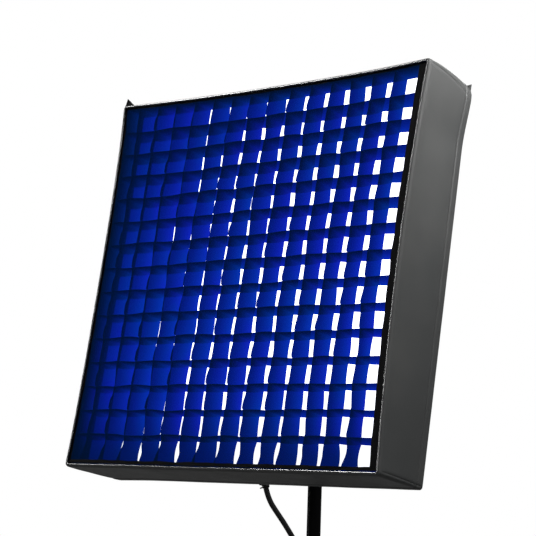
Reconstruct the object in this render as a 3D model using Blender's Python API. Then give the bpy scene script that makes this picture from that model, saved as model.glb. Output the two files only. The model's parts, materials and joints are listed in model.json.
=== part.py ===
"""Square fabric softbox with an egg-crate grid over a flexible light mat.

The mat is held by a folding cross bracket. A clamp on the bracket tilts on a bolt and sits on the
spigot of a stand's top riser, whose lower end is the part's origin. Metres, +Z up along the riser.
The head (softbox, mat and bracket) is modelled about the tilt bolt: X across, the light leaves
along -Y, and the head rests leaning back by TILT.
"""

import math

import bmesh
import bpy
from mathutils import Vector

GAP = 0.0003  # clearance between pieces that touch

# softbox
WIDTH = 0.600
HEIGHT = 0.600
DEPTH = 0.108
WALL = 0.0024  # stiffened fabric
PIPING_R = 0.0016
HEM_THICK = 0.0020  # front hem inside the walls, with the loop tape
HEM_DEPTH = 0.025
FLANGE_WIDE = 0.030  # rear flange that holds the mat
FLANGE_THICK = 0.0015
TAB_BASE = 0.020
TAB_HIGH = 0.011
TAB_THICK = 0.0015

# egg-crate grid and diffuser
CELLS = 15
GRID_DEPTH = 0.037
GRID_STRIP = 0.0012
GRID_SET_BACK = 0.0040
DIFFUSER_BEHIND = 0.0040
DIFFUSER_THICK = 0.0008

# light mat
MAT_THICK = 0.0050
BACK_CLOTH = 0.0010
LED_BOARD = 0.0010
LED_MARGIN = 0.015
SOCKET_SIDE = 0.036
SOCKET_THICK = 0.0110
SOCKET_EDGE = 0.012  # from the inside of the wall to the socket
SOCKET_HOLE_R = 0.0055
SOCKET_HOLE_DEEP = 0.0070

# junction box and cable entry
BOX_WIDE = 0.092
BOX_HIGH = 0.040
BOX_THICK = 0.0160
BOX_TOP = 0.084  # below the tilt bolt
BOX_CENTRE_X = -0.010
GLAND_X = -0.035
GLAND_R = 0.0070
GLAND_NUT = 0.0080
GLAND_LONG = 0.022

# cross bracket
HUB_SIDE = 0.112
HUB_THICK = 0.0240
HUB_CORNER = 0.016
HUB_EDGE = 0.0020
POCKET_SIDE = 0.062  # hollow in the hub's front, closed by its cover
POCKET_DEEP = 0.0170
HUB_CLEAR = 0.0020  # behind the softbox's rear plane
HUB_FLOOR = 0.0030  # metal left in front of an arm's slot
COVER_SIDE = 0.074
COVER_THICK = 0.0012
PIVOT_R = 0.066  # from the hub's centre to an arm's pin
ARM_WIDE = 0.0140
ARM_THICK = 0.0070
ARM_EDGE = 0.0012
ARM_TIP = 0.016  # length of the moulded end
MOULDED_EDGE = 0.0030
ARM_PIN_R = 0.0025
ARM_PIN_OUT = 0.0050  # pin beyond each side of its arm
ARM_SLOT_CLEAR = 0.0005
ARM_END_CLEAR = 0.0020
STUD_R = 0.0042
STUD_INTO = 0.0050

# yoke, tilt bolt and lever
HINGE_BACK = 0.060  # from the softbox's rear plane to the tilt bolt
YOKE_SIDE = 0.056
YOKE_THICK = 0.0050
EAR_THICK = 0.0060
EAR_R = 0.0160
KNUCKLE_WIDE = 0.0260
DISC_THICK = 0.0014
DISC_R = 0.0135
BOLT_R = 0.0040
BOLT_CLEAR = 0.00015
BOLT_HEAD_R = 0.0075
BOLT_HEAD = 0.0050
WASHER_R = 0.0120
WASHER_THICK = 0.0015
LEVER_HUB_R = 0.0105
LEVER_HUB = 0.0120
LEVER_LONG = 0.058
LEVER_WIDE = 0.0100
LEVER_THICK = 0.0065
SCREW_R = 0.0024
SCREW_HEAD_R = 0.0042
SCREW_HEAD = 0.0030
SCREW_INTO = 0.0050
SCREW_X = 0.0078  # screw's distance from the yoke's centre, between the ears
SCREW_Z = 0.0205

# receiver and its T-handled lock screw
REACH = 0.035  # from the riser's axis forward to the tilt bolt
SOCKET_R = 0.020
SOCKET_ABOVE = 0.012
SOCKET_BELOW = 0.046
BORE_DEEP = 0.049
SPIGOT_CLEAR = 0.00020
BOSS_R = 0.0090
BOSS_OUT = 0.0060
LOCK_DROP = 0.024  # below the tilt bolt
LOCK_R = 0.0040
HANDLE_R = 0.0050
HANDLE_LONG = 0.050
HANDLE_OUT = 0.036

# riser of the stand
HINGE_HIGH = 0.560  # tilt bolt above the riser's lower end
RISER_R = 0.0110
RISER_WALL = 0.0015
SPIGOT_R = 0.00795
SPIGOT_NECK_R = 0.0065
SPIGOT_NECK = 0.010
SPIGOT_LONG = 0.046
SPIGOT_PLUG = 0.030
COLLAR = 0.0030
BUSH_WALL = 0.0014
BUSH_LONG = 0.040
END_FLANGE = 0.0030
END_STEM = 0.015

# head cable, its connector and the strap that ties it to the riser
CABLE_R = 0.0042
STRAP_WIDE = 0.016
STRAP_THICK = 0.0015
STRAP_HIGH = 0.140
STRAP_CLEAR = 0.0008
CONNECTOR_R = 0.0075
CONNECTOR_LONG = 0.034
BOOT_LONG = 0.018
RING_R = 0.0095
RING_LONG = 0.014

TILT = math.radians(9.5)

# the cable's route from the gland to the connector
CABLE_ROUTE = [
    (-0.0350, -0.1120, 0.4242),
    (-0.0350, -0.1145, 0.4094),
    (-0.0351, -0.1130, 0.3800),
    (-0.0352, -0.1055, 0.3420),
    (-0.0352, -0.0935, 0.3060),
    (-0.0348, -0.0805, 0.2730),
    (-0.0335, -0.0750, 0.2570),
    (-0.0306, -0.0690, 0.2435),
    (-0.0262, -0.0600, 0.2300),
    (-0.0212, -0.0470, 0.2130),
    (-0.0180, -0.0330, 0.1955),
    (-0.0168, -0.0185, 0.1790),
    (-0.0161, -0.0065, 0.1640),
    (-0.0158, -0.0018, 0.1520),
    (-0.0158, -0.0010, 0.1400),
    (-0.0159, -0.0008, 0.1290),
    (-0.0175, -0.0004, 0.1170),
    (-0.0208, 0.0000, 0.1080),
    (-0.0229, 0.0000, 0.0990),
    (-0.0230, 0.0000, 0.0920),
]

# places that follow from the sizes, in the head's frame
Y_REAR = -HINGE_BACK
Y_FRONT = Y_REAR - DEPTH
INNER_X = WIDTH / 2 - WALL - GAP
INNER_Z = HEIGHT / 2 - WALL - GAP
MAT_REAR = Y_REAR - FLANGE_THICK - GAP
SOCKET_X = INNER_X - SOCKET_EDGE - SOCKET_SIDE / 2
SOCKET_Z = INNER_Z - SOCKET_EDGE - SOCKET_SIDE / 2
SOCKET_REAR = MAT_REAR + GAP + SOCKET_THICK
ARM_Y = SOCKET_REAR + GAP + ARM_THICK / 2
HUB_FRONT = Y_REAR + HUB_CLEAR
HUB_REAR = HUB_FRONT + HUB_THICK
YOKE_REAR = HUB_REAR + GAP + YOKE_THICK
EAR_IN = KNUCKLE_WIDE / 2 + DISC_THICK + 2 * GAP
EAR_OUT = EAR_IN + EAR_THICK
WASHER_OUT = EAR_OUT + GAP + WASHER_THICK
BOX_FRONT = MAT_REAR + GAP
GLAND_TOP = -BOX_TOP - BOX_HIGH - GAP
GLAND_Y = BOX_FRONT + BOX_THICK / 2
RISER_TOP = HINGE_HIGH - SOCKET_BELOW - GAP - COLLAR - GAP
CONNECTOR_TOP = CABLE_ROUTE[-1][2] - 3 * GAP
CORNERS = (("tl", -1, 1), ("tr", 1, 1), ("bl", -1, -1), ("br", 1, -1))


def clear_scene():
    for ob in list(bpy.data.objects):
        bpy.data.objects.remove(ob, do_unlink=True)


def material(name, colour, roughness, metallic=0.0):
    mat = bpy.data.materials.get(name)
    if mat:
        return mat
    mat = bpy.data.materials.new(name)
    mat.use_nodes = True
    shader = mat.node_tree.nodes["Principled BSDF"]
    shader.inputs["Base Color"].default_value = (*colour, 1)
    shader.inputs["Roughness"].default_value = roughness
    shader.inputs["Metallic"].default_value = metallic
    mat.diffuse_color = (*colour, 1)
    return mat


def shell_cloth():
    return material("shell_cloth", (0.055, 0.056, 0.055), 0.55)


def black_tape():
    return material("black_tape", (0.015, 0.015, 0.016), 0.7)


def grid_cloth():
    return material("grid_cloth", (0.012, 0.014, 0.020), 0.75)


def white_cloth():
    return material("white_cloth", (0.85, 0.87, 0.92), 0.8)


def led_sheet():
    return material("led_sheet", (0.80, 0.80, 0.74), 0.6)


def mat_cloth():
    return material("mat_cloth", (0.030, 0.030, 0.032), 0.7)


def black_plastic():
    return material("black_plastic", (0.020, 0.020, 0.021), 0.45)


def black_metal():
    return material("black_metal", (0.030, 0.030, 0.032), 0.38, 0.6)


def bright_steel():
    return material("bright_steel", (0.55, 0.55, 0.56), 0.28, 1.0)


def nylon():
    return material("nylon", (0.06, 0.06, 0.065), 0.5)


def cable_rubber():
    return material("cable_rubber", (0.012, 0.012, 0.012), 0.55)


def add_object(name, mesh, mat, parent=None, smooth=False):
    ob = bpy.data.objects.new(name, mesh)
    bpy.context.collection.objects.link(ob)
    mesh.materials.append(mat)
    ob.parent = parent
    if smooth:
        mesh.shade_smooth()
        mesh.set_sharp_from_angle(angle=math.radians(35))
    return ob


def add_empty(name, location, parent=None, rotation=(0, 0, 0)):
    ob = bpy.data.objects.new(name, None)
    bpy.context.collection.objects.link(ob)
    ob.location = location
    ob.rotation_euler = rotation
    ob.parent = parent
    return ob


def mesh_from(bm, name):
    bmesh.ops.recalc_face_normals(bm, faces=bm.faces)
    mesh = bpy.data.meshes.new(name)
    bm.to_mesh(mesh)
    bm.free()
    return mesh


def box_mesh(name, low, high):
    bm = bmesh.new()
    bmesh.ops.create_cube(bm, size=1)
    for v in bm.verts:
        for axis in range(3):
            v.co[axis] = high[axis] if v.co[axis] > 0 else low[axis]
    return mesh_from(bm, name)


def add_box(name, low, high, mat, parent=None, bevel=0.0, segments=2):
    ob = add_object(name, box_mesh(name, low, high), mat, parent)
    if bevel:
        mod = ob.modifiers.new("edges", "BEVEL")
        mod.width = bevel
        mod.segments = segments
        mod.limit_method = "ANGLE"
    return ob


def turned_mesh(name, outline, sides):
    """Solid of revolution about local Z. The outline is a list of (radius, z) from end to end."""
    bm = bmesh.new()
    rings = []
    for r, z in outline:
        if r == 0:
            rings.append([bm.verts.new((0, 0, z))])
            continue
        turns = [2 * math.pi * i / sides for i in range(sides)]
        rings.append([bm.verts.new((r * math.cos(a), r * math.sin(a), z)) for a in turns])
    closed = outline[0][0] != 0
    pairs = list(zip(rings, rings[1:] + (rings[:1] if closed else [])))
    for a, b in pairs[: len(rings) if closed else len(rings) - 1]:
        for i in range(sides):
            j = (i + 1) % sides
            corners = [a[i % len(a)], a[j % len(a)], b[j % len(b)], b[i % len(b)]]
            bm.faces.new(list(dict.fromkeys(corners)))
    return mesh_from(bm, name)


def add_turned(name, outline, mat, parent=None, location=(0, 0, 0), along="Z", sides=24):
    """A turned piece with its local Z laid along +X, +Y or +Z, or along -Z."""
    ob = add_object(name, turned_mesh(name, outline, sides), mat, parent, smooth=True)
    ob.location = location
    quarter = math.pi / 2
    ob.rotation_euler = {
        "X": (0, quarter, 0),
        "Y": (-quarter, 0, 0),
        "Z": (0, 0, 0),
        "-Z": (math.pi, 0, 0),
    }[along]
    return ob


def tube(outer, inner, low, high):
    return [(outer, low), (outer, high), (inner, high), (inner, low)]


def rod(r, low, high):
    return [(0, low), (r, low), (r, high), (0, high)]


def prism_mesh(name, outline, low, high, along="Y"):
    """Extrude an outline of two coordinates along Y (x, z) or along X (y, z)."""
    bm = bmesh.new()
    place = (lambda a, b, d: (a, d, b)) if along == "Y" else (lambda a, b, d: (d, a, b))
    ends = [[bm.verts.new(place(a, b, d)) for a, b in outline] for d in (low, high)]
    bm.faces.new(ends[0])
    bm.faces.new(ends[1][::-1])
    count = len(outline)
    for i in range(count):
        j = (i + 1) % count
        bm.faces.new([ends[0][j], ends[0][i], ends[1][i], ends[1][j]])
    return mesh_from(bm, name)


def arc(centre, r, start, end, steps):
    turns = [start + (end - start) * i / steps for i in range(steps + 1)]
    return [
        (centre[0] + r * math.cos(math.radians(a)), centre[1] + r * math.sin(math.radians(a)))
        for a in turns
    ]


def rounded_square(half, r, steps=4):
    points = []
    for sx, sz, start in ((1, 1, 0), (-1, 1, 90), (-1, -1, 180), (1, -1, 270)):
        points += arc((sx * (half - r), sz * (half - r)), r, start, start + 90, steps)
    return points


def cutter(name, mesh, parent=None, location=(0, 0, 0), rotation=(0, 0, 0)):
    ob = bpy.data.objects.new(name, mesh)
    bpy.context.collection.objects.link(ob)
    ob.parent = parent
    ob.location = location
    ob.rotation_euler = rotation
    ob.hide_render = True
    ob.display_type = "WIRE"
    return ob


def combine(ob, other, operation):
    mod = ob.modifiers.new(operation.lower(), "BOOLEAN")
    mod.operation = operation
    mod.object = other
    mod.solver = "EXACT"


def round_cutter(name, r, low, high, parent, location=(0, 0, 0), along="Z", sides=24):
    quarter = math.pi / 2
    rotation = {"X": (0, quarter, 0), "Y": (-quarter, 0, 0), "Z": (0, 0, 0)}[along]
    mesh = turned_mesh(name, rod(r, low, high), sides)
    return cutter(name, mesh, parent, location, rotation)


# ---- softbox


def softbox_walls(head):
    front = Y_FRONT + 2 * PIPING_R + GAP
    x, z = WIDTH / 2, HEIGHT / 2
    cloth = shell_cloth()
    add_box("top_panel", (-x, front, z - WALL), (x, Y_REAR, z), cloth, head)
    add_box("bottom_panel", (-x, front, -z), (x, Y_REAR, -z + WALL), cloth, head)
    add_box("left_panel", (-x, front, -INNER_Z), (-x + WALL, Y_REAR, INNER_Z), cloth, head)
    add_box("right_panel", (x - WALL, front, -INNER_Z), (x, Y_REAR, INNER_Z), cloth, head)


def front_piping(head):
    """One bead round the mouth, mitred at the corners."""
    x, z = WIDTH / 2 - PIPING_R, HEIGHT / 2 - PIPING_R
    y = Y_FRONT + PIPING_R
    sides = 8
    bm = bmesh.new()
    rings = []
    for sx, sz in ((1, 1), (-1, 1), (-1, -1), (1, -1)):
        ring = []
        for i in range(sides):
            a = 2 * math.pi * i / sides
            out = PIPING_R * math.cos(a)
            ring.append(bm.verts.new((sx * (x + out), y + PIPING_R * math.sin(a), sz * (z + out))))
        rings.append(ring)
    for a, b in zip(rings, rings[1:] + rings[:1]):
        for i in range(sides):
            j = (i + 1) % sides
            bm.faces.new([a[i], a[j], b[j], b[i]])
    add_object("front_piping", mesh_from(bm, "front_piping"), black_tape(), head, smooth=True)


def front_hems(head):
    low, high = Y_FRONT + 2 * PIPING_R + GAP, Y_FRONT + 2 * PIPING_R + GAP + HEM_DEPTH
    x, z = INNER_X, INNER_Z
    side_z = z - HEM_THICK - GAP
    tape = black_tape()
    add_box("front_hem_top", (-x, low, z - HEM_THICK), (x, high, z), tape, head)
    add_box("front_hem_bottom", (-x, low, -z), (x, high, -z + HEM_THICK), tape, head)
    add_box("front_hem_left", (-x, low, -side_z), (-x + HEM_THICK, high, side_z), tape, head)
    add_box("front_hem_right", (x - HEM_THICK, low, -side_z), (x, high, side_z), tape, head)


def rear_flanges(head):
    """Four strips folded in behind the mat, which stop short of the corner sockets."""
    low, high = Y_REAR - FLANGE_THICK, Y_REAR
    along_x = SOCKET_X - SOCKET_SIDE / 2 - GAP
    along_z = SOCKET_Z - SOCKET_SIDE / 2 - GAP
    x, z = INNER_X, INNER_Z
    cloth = shell_cloth()
    wide = FLANGE_WIDE
    add_box("flange_top", (-along_x, low, z - wide), (along_x, high, z), cloth, head)
    add_box("flange_bottom", (-along_x, low, -z), (along_x, high, -z + wide), cloth, head)
    add_box("flange_left", (-x, low, -along_z), (-x + wide, high, along_z), cloth, head)
    add_box("flange_right", (x - wide, low, -along_z), (x, high, along_z), cloth, head)


def pull_tab(head):
    """Triangular cloth tab that stands up from the top left corner of the mouth."""
    x, z = -WIDTH / 2, HEIGHT / 2 + GAP
    outline = [(x, z), (x + TAB_BASE, z), (x + TAB_BASE * 0.22, z + TAB_HIGH)]
    front = Y_FRONT + 2 * PIPING_R + GAP
    mesh = prism_mesh("pull_tab", outline, front, front + TAB_THICK)
    add_object("pull_tab", mesh, black_tape(), head)


def egg_crate(head):
    """A lattice of cloth strips with a border, CELLS by CELLS."""
    half_x = INNER_X - HEM_THICK - GAP
    half_z = INNER_Z - HEM_THICK - GAP

    def edges(half):
        cell = (2 * half - (CELLS + 1) * GRID_STRIP) / CELLS
        steps = [GRID_STRIP if i % 2 == 0 else cell for i in range(2 * CELLS + 1)]
        return [-half + sum(steps[:i]) for i in range(len(steps) + 1)]

    xs, zs = edges(half_x), edges(half_z)
    depth = (Y_FRONT + GRID_SET_BACK, Y_FRONT + GRID_SET_BACK + GRID_DEPTH)
    spans = range(len(xs) - 1)
    solid = {(i, k) for i in spans for k in spans if i % 2 == 0 or k % 2 == 0}
    bm = bmesh.new()
    verts = {}

    def vert(i, k, side):
        key = (i, k, side)
        if key not in verts:
            verts[key] = bm.verts.new((xs[i], depth[side], zs[k]))
        return verts[key]

    for i, k in solid:
        square = [(i, k), (i + 1, k), (i + 1, k + 1), (i, k + 1)]
        bm.faces.new([vert(*p, 0) for p in square])
        bm.faces.new([vert(*p, 1) for p in reversed(square)])
        steps = ((0, -1), (1, 0), (0, 1), (-1, 0))
        for n, (di, dk) in enumerate(steps):
            if (i + di, k + dk) in solid:
                continue
            a, b = square[n], square[(n + 1) % 4]
            bm.faces.new([vert(*b, 0), vert(*a, 0), vert(*a, 1), vert(*b, 1)])
    add_object("egg_crate_grid", mesh_from(bm, "egg_crate_grid"), grid_cloth(), head)


def diffuser(head):
    front = Y_FRONT + GRID_SET_BACK + GRID_DEPTH + DIFFUSER_BEHIND
    x, z = INNER_X, INNER_Z
    add_box("diffuser", (-x, front, -z), (x, front + DIFFUSER_THICK, z), white_cloth(), head)


# ---- light mat


def light_mat(head):
    x, z = INNER_X, INNER_Z
    back = MAT_REAR - BACK_CLOTH
    add_box("mat_back", (-x, back, -z), (x, MAT_REAR, z), mat_cloth(), head)
    core_rear = back - GAP
    core_front = core_rear - MAT_THICK
    add_box("mat_core", (-x, core_front, -z), (x, core_rear, z), mat_cloth(), head)
    board_rear = core_front - GAP
    bx, bz = x - LED_MARGIN, z - LED_MARGIN
    low, high = (-bx, board_rear - LED_BOARD, -bz), (bx, board_rear, bz)
    add_box("led_board", low, high, led_sheet(), head)


def corner_sockets(head):
    half = SOCKET_SIDE / 2
    rear = SOCKET_REAR
    for tag, sx, sz in CORNERS:
        name = f"corner_socket_{tag}"
        x, z = sx * SOCKET_X, sz * SOCKET_Z
        low = (x - half, MAT_REAR + GAP, z - half)
        high = (x + half, rear, z + half)
        ob = add_box(name, low, high, black_plastic(), head, bevel=MOULDED_EDGE, segments=1)
        hole = round_cutter(
            f"{name}_hole", SOCKET_HOLE_R, -SOCKET_HOLE_DEEP, 0.01, head, (x, rear, z), "Y", 16
        )
        combine(ob, hole, "DIFFERENCE")


def junction_box(head):
    low = (BOX_CENTRE_X - BOX_WIDE / 2, BOX_FRONT, -BOX_TOP - BOX_HIGH)
    high = (BOX_CENTRE_X + BOX_WIDE / 2, BOX_FRONT + BOX_THICK, -BOX_TOP)
    add_box("junction_box", low, high, black_plastic(), head, bevel=MOULDED_EDGE, segments=2)


def cable_gland(head):
    """Nut and tapered sleeve that the cable leaves, downwards."""
    r = CABLE_R + GAP
    outline = [
        (0, 0),
        (GLAND_R, 0),
        (GLAND_R, GLAND_NUT),
        (GLAND_R - 0.0008, GLAND_NUT + 0.0015),
        (r + 0.0010, GLAND_LONG),
        (r, GLAND_LONG),
        (r, 0.0020),
        (0, 0.0020),
    ]
    at = (GLAND_X, GLAND_Y, GLAND_TOP)
    add_turned("cable_gland", outline, black_plastic(), head, at, "-Z", 16)


# ---- cross bracket


def add_bevel(ob, width, segments=1):
    mod = ob.modifiers.new("edges", "BEVEL")
    mod.width = width
    mod.segments = segments
    mod.limit_method = "ANGLE"
    mod.angle_limit = math.radians(60)


def hub(head):
    """Square casting with a slot and a pin hole for each arm, and a pocket in its front."""
    outline = rounded_square(HUB_SIDE / 2, HUB_CORNER)
    mesh = prism_mesh("bracket_hub", outline, HUB_FRONT, HUB_REAR)
    ob = add_object("bracket_hub", mesh, black_metal(), head, smooth=True)
    add_bevel(ob, HUB_EDGE, 2)
    pocket = rounded_square(POCKET_SIDE / 2, 0.008, 3)
    pocket = prism_mesh("hub_pocket", pocket, HUB_FRONT - 0.01, HUB_FRONT + POCKET_DEEP)
    combine(ob, cutter("hub_pocket", pocket, head), "DIFFERENCE")
    slot_half = ARM_WIDE / 2 + ARM_SLOT_CLEAR
    inner = -ARM_WIDE / 2 - ARM_END_CLEAR
    pin_half = ARM_WIDE / 2 + ARM_PIN_OUT + 0.001
    for tag, sx, sz in CORNERS:
        at, turn, _ = arm_line(sx, sz)
        low = (inner, HUB_FRONT + HUB_FLOOR - ARM_Y, -slot_half)
        high = (HUB_SIDE, HUB_THICK, slot_half)
        slot = box_mesh(f"slot_{tag}", low, high)
        combine(ob, cutter(f"slot_{tag}", slot, head, at, turn), "DIFFERENCE")
        hole = round_cutter(f"pin_hole_{tag}", ARM_PIN_R + GAP / 2, -pin_half, pin_half, head, at)
        hole.rotation_euler = turn
        combine(ob, hole, "DIFFERENCE")
    for i, (sx, sz) in enumerate(((-1, 1), (1, 1), (-1, -1), (1, -1)), 1):
        at = (sx * SCREW_X, HUB_REAR, sz * SCREW_Z)
        hole = round_cutter(
            f"screw_hole_{i}", SCREW_R + GAP, -SCREW_INTO - 0.001, 0.01, head, at, "Y", 12
        )
        combine(ob, hole, "DIFFERENCE")


def arm_line(sx, sz):
    """Where an arm's pin is, the turn that lays local X along the arm, and its reach to the socket."""
    r = PIVOT_R / math.sqrt(2)
    dx, dz = sx * (SOCKET_X - r), sz * (SOCKET_Z - r)
    return (sx * r, ARM_Y, sz * r), (0, -math.atan2(dz, dx), 0), math.hypot(dx, dz)


def hub_cover(head):
    half = COVER_SIDE / 2
    front = HUB_FRONT - GAP - COVER_THICK
    mesh = prism_mesh("hub_cover", rounded_square(half, 0.008, 3), front, HUB_FRONT - GAP)
    add_object("hub_cover", mesh, black_plastic(), head)


def arms(head):
    """Four bars, each on its own pin, with a stud on the tip that drops into a corner socket."""
    for tag, sx, sz in CORNERS:
        at, turn, reach = arm_line(sx, sz)
        pivot = add_empty(f"pivot_{tag}", at, head, turn)
        arm(tag, pivot, reach)
        arm_pin(tag, pivot)
        arm_tip(tag, pivot, reach)


def arm(tag, pivot, reach):
    half = ARM_WIDE / 2
    tip_start = reach - ARM_TIP
    outline = [(tip_start, -half), (tip_start, half)] + arc((0, 0), half, 90, 270, 8)
    mesh = prism_mesh(f"arm_{tag}", outline, -ARM_THICK / 2, ARM_THICK / 2)
    ob = add_object(f"arm_{tag}", mesh, black_metal(), pivot, smooth=True)
    add_bevel(ob, ARM_EDGE)
    hole = round_cutter(f"arm_hole_{tag}", ARM_PIN_R + GAP / 2, -half - 0.01, half + 0.01, pivot)
    combine(ob, hole, "DIFFERENCE")


def arm_pin(tag, pivot):
    half = ARM_WIDE / 2 + ARM_PIN_OUT
    add_turned(f"arm_pin_{tag}", rod(ARM_PIN_R, -half, half), bright_steel(), pivot, sides=12)


def arm_tip(tag, pivot, reach):
    """Moulded end with a rounded nose and a stud towards the mat."""
    half = ARM_WIDE / 2 + 0.001
    start = reach - ARM_TIP + GAP
    outline = [(start, half), (start, -half)] + arc((reach, 0), half, -90, 90, 8)
    low, high = -ARM_THICK / 2, ARM_THICK / 2 + 0.002
    mesh = prism_mesh(f"arm_tip_{tag}", outline, low, high)
    ob = add_object(f"arm_tip_{tag}", mesh, black_plastic(), pivot, smooth=True)
    stud = round_cutter(
        f"stud_{tag}", STUD_R, -STUD_INTO - GAP, 0.001, pivot, (reach, low, 0), "Y", 16
    )
    combine(ob, stud, "UNION")


# ---- yoke, bolt and lever


def stadium(r, to, drop=0.0):
    """Outline of a lug about the origin, in (y, z), that runs along y to the given place."""
    if to < 0:
        return [(to, -r - drop), *arc((0, 0), r, -90, 90, 10), (to, r + drop)]
    return [(to, r), *arc((0, 0), r, 90, 270, 10), (to, -r)]


def yoke(head):
    half = YOKE_SIDE / 2
    plate = prism_mesh("yoke", rounded_square(half, 0.006, 3), HUB_REAR + GAP, YOKE_REAR)
    ob = add_object("yoke", plate, black_metal(), head, smooth=True)
    for side, low in (("l", -EAR_OUT), ("r", EAR_IN)):
        mesh = prism_mesh(
            f"ear_{side}", stadium(EAR_R, YOKE_REAR - 0.001, 0.006), low, low + EAR_THICK, "X"
        )
        combine(ob, cutter(f"ear_{side}", mesh, head), "UNION")
    r = BOLT_R + BOLT_CLEAR
    combine(ob, round_cutter("yoke_bolt_hole", r, -0.03, 0.03, head, along="X"), "DIFFERENCE")
    for i, (sx, sz) in enumerate(((-1, 1), (1, 1), (-1, -1), (1, -1)), 1):
        x, z = sx * SCREW_X, sz * SCREW_Z
        at = (x, HUB_REAR, z)
        hole = round_cutter(f"yoke_hole_{i}", SCREW_R + GAP, -0.01, 0.01, head, at, "Y", 12)
        combine(ob, hole, "DIFFERENCE")
        yoke_screw(i, head, x, z)


def yoke_screw(i, head, x, z):
    top = YOKE_REAR + GAP - HUB_REAR
    outline = [
        (0, -SCREW_INTO),
        (SCREW_R, -SCREW_INTO),
        (SCREW_R, top),
        (SCREW_HEAD_R, top),
        (SCREW_HEAD_R, top + SCREW_HEAD),
        (0, top + SCREW_HEAD),
    ]
    add_turned(f"yoke_screw_{i}", outline, bright_steel(), head, (x, HUB_REAR, z), "Y", 12)


def tilt_bolt(head):
    out = WASHER_OUT + GAP
    end = out + LEVER_HUB - 0.003
    outline = [
        (0, -out - BOLT_HEAD),
        (BOLT_HEAD_R, -out - BOLT_HEAD),
        (BOLT_HEAD_R, -out),
        (BOLT_R, -out),
        (BOLT_R, end),
        (0, end),
    ]
    add_turned("tilt_bolt", outline, bright_steel(), head, along="X", sides=24)
    hole_r = BOLT_R + GAP
    disc_in = KNUCKLE_WIDE / 2 + GAP
    for side, sign in (("l", -1), ("r", 1)):
        low, high = sorted((sign * disc_in, sign * (disc_in + DISC_THICK)))
        disc = tube(DISC_R, hole_r, low, high)
        add_turned(f"friction_disc_{side}", disc, nylon(), head, along="X", sides=24)
        low, high = sorted((sign * (EAR_OUT + GAP), sign * WASHER_OUT))
        washer = tube(WASHER_R, hole_r, low, high)
        add_turned(f"tilt_washer_{side}", washer, bright_steel(), head, along="X", sides=24)


def tilt_lever(head):
    """Clamp lever on the bolt's end, pointing down when it is tight."""
    low = WASHER_OUT + GAP
    r = LEVER_HUB_R
    pivot = add_empty("lever_pivot", (0, 0, 0), head)
    outline = [
        (0, low + LEVER_HUB - 0.0025),
        (BOLT_R + GAP, low + LEVER_HUB - 0.0025),
        (BOLT_R + GAP, low),
        (r, low),
        (r, low + LEVER_HUB - 0.001),
        (r - 0.001, low + LEVER_HUB),
        (0, low + LEVER_HUB),
    ]
    ob = add_turned("tilt_lever", outline, black_plastic(), pivot, along="X", sides=24)
    high = low + LEVER_HUB - 0.001
    half = LEVER_WIDE / 2
    tip = arc((0, -LEVER_LONG + half), half, 0, -180, 8)
    blade = [(half * 1.1, -0.006), *tip, (-half * 1.1, -0.006)]
    mesh = prism_mesh("lever_blade", blade, high - LEVER_THICK, high, "X")
    combine(ob, cutter("lever_blade", mesh, pivot), "UNION")


# ---- receiver and riser


def receiver(pan):
    """Clamp body: a socket over the spigot, a knuckle forward to the bolt and a boss for the lock."""
    low, high = HINGE_HIGH - SOCKET_BELOW, HINGE_HIGH + SOCKET_ABOVE
    bore = SPIGOT_R + SPIGOT_CLEAR
    top = low + BORE_DEEP
    outline = [
        (0, top),
        (bore, top),
        (bore, low),
        (SOCKET_R, low),
        (SOCKET_R, high - 0.003),
        (SOCKET_R - 0.003, high),
        (0, high),
    ]
    ob = add_turned("receiver", outline, black_metal(), pan, sides=32)
    half = KNUCKLE_WIDE / 2
    to = REACH - bore - 0.004
    lug = prism_mesh("knuckle", stadium(EAR_R - 0.001, to), -half, half, "X")
    combine(ob, cutter("knuckle", lug, pan, (0, -REACH, HINGE_HIGH)), "UNION")
    boss_low = bore + 0.003
    lock_z = HINGE_HIGH - LOCK_DROP
    boss = round_cutter("lock_boss", BOSS_R, boss_low, SOCKET_R + BOSS_OUT, pan, (0, 0, lock_z), "Y")
    combine(ob, boss, "UNION")
    at = (0, -REACH, HINGE_HIGH)
    hole = round_cutter("knuckle_hole", BOLT_R + BOLT_CLEAR, -0.03, 0.03, pan, at, "X")
    combine(ob, hole, "DIFFERENCE")
    at = (0, 0, lock_z)
    hole = round_cutter("lock_hole", LOCK_R + GAP, 0, 0.04, pan, at, "Y")
    combine(ob, hole, "DIFFERENCE")


def lock_screw(pan):
    """Threaded rod with a T handle across its end, which clamps the spigot."""
    pivot = add_empty("lock_pivot", (0, 0, HINGE_HIGH - LOCK_DROP), pan)
    shoulder = SOCKET_R + BOSS_OUT + 0.001
    outline = [
        (0, SPIGOT_R + GAP),
        (LOCK_R, SPIGOT_R + GAP),
        (LOCK_R, shoulder),
        (0.0070, shoulder),
        (0.0070, HANDLE_OUT + 0.002),
        (0, HANDLE_OUT + 0.002),
    ]
    ob = add_turned("spigot_lock", outline, black_metal(), pivot, along="Y", sides=20)
    half = HANDLE_LONG / 2
    bar = [(0, -half), (HANDLE_R - 0.001, -half), (HANDLE_R, -half + 0.002)]
    bar += [(r, -z) for r, z in reversed(bar)]
    mesh = turned_mesh("lock_handle", bar, 12)
    handle = cutter("lock_handle", mesh, pivot, (0, HANDLE_OUT, 0), (0, math.pi / 2, 0))
    combine(ob, handle, "UNION")


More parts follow.
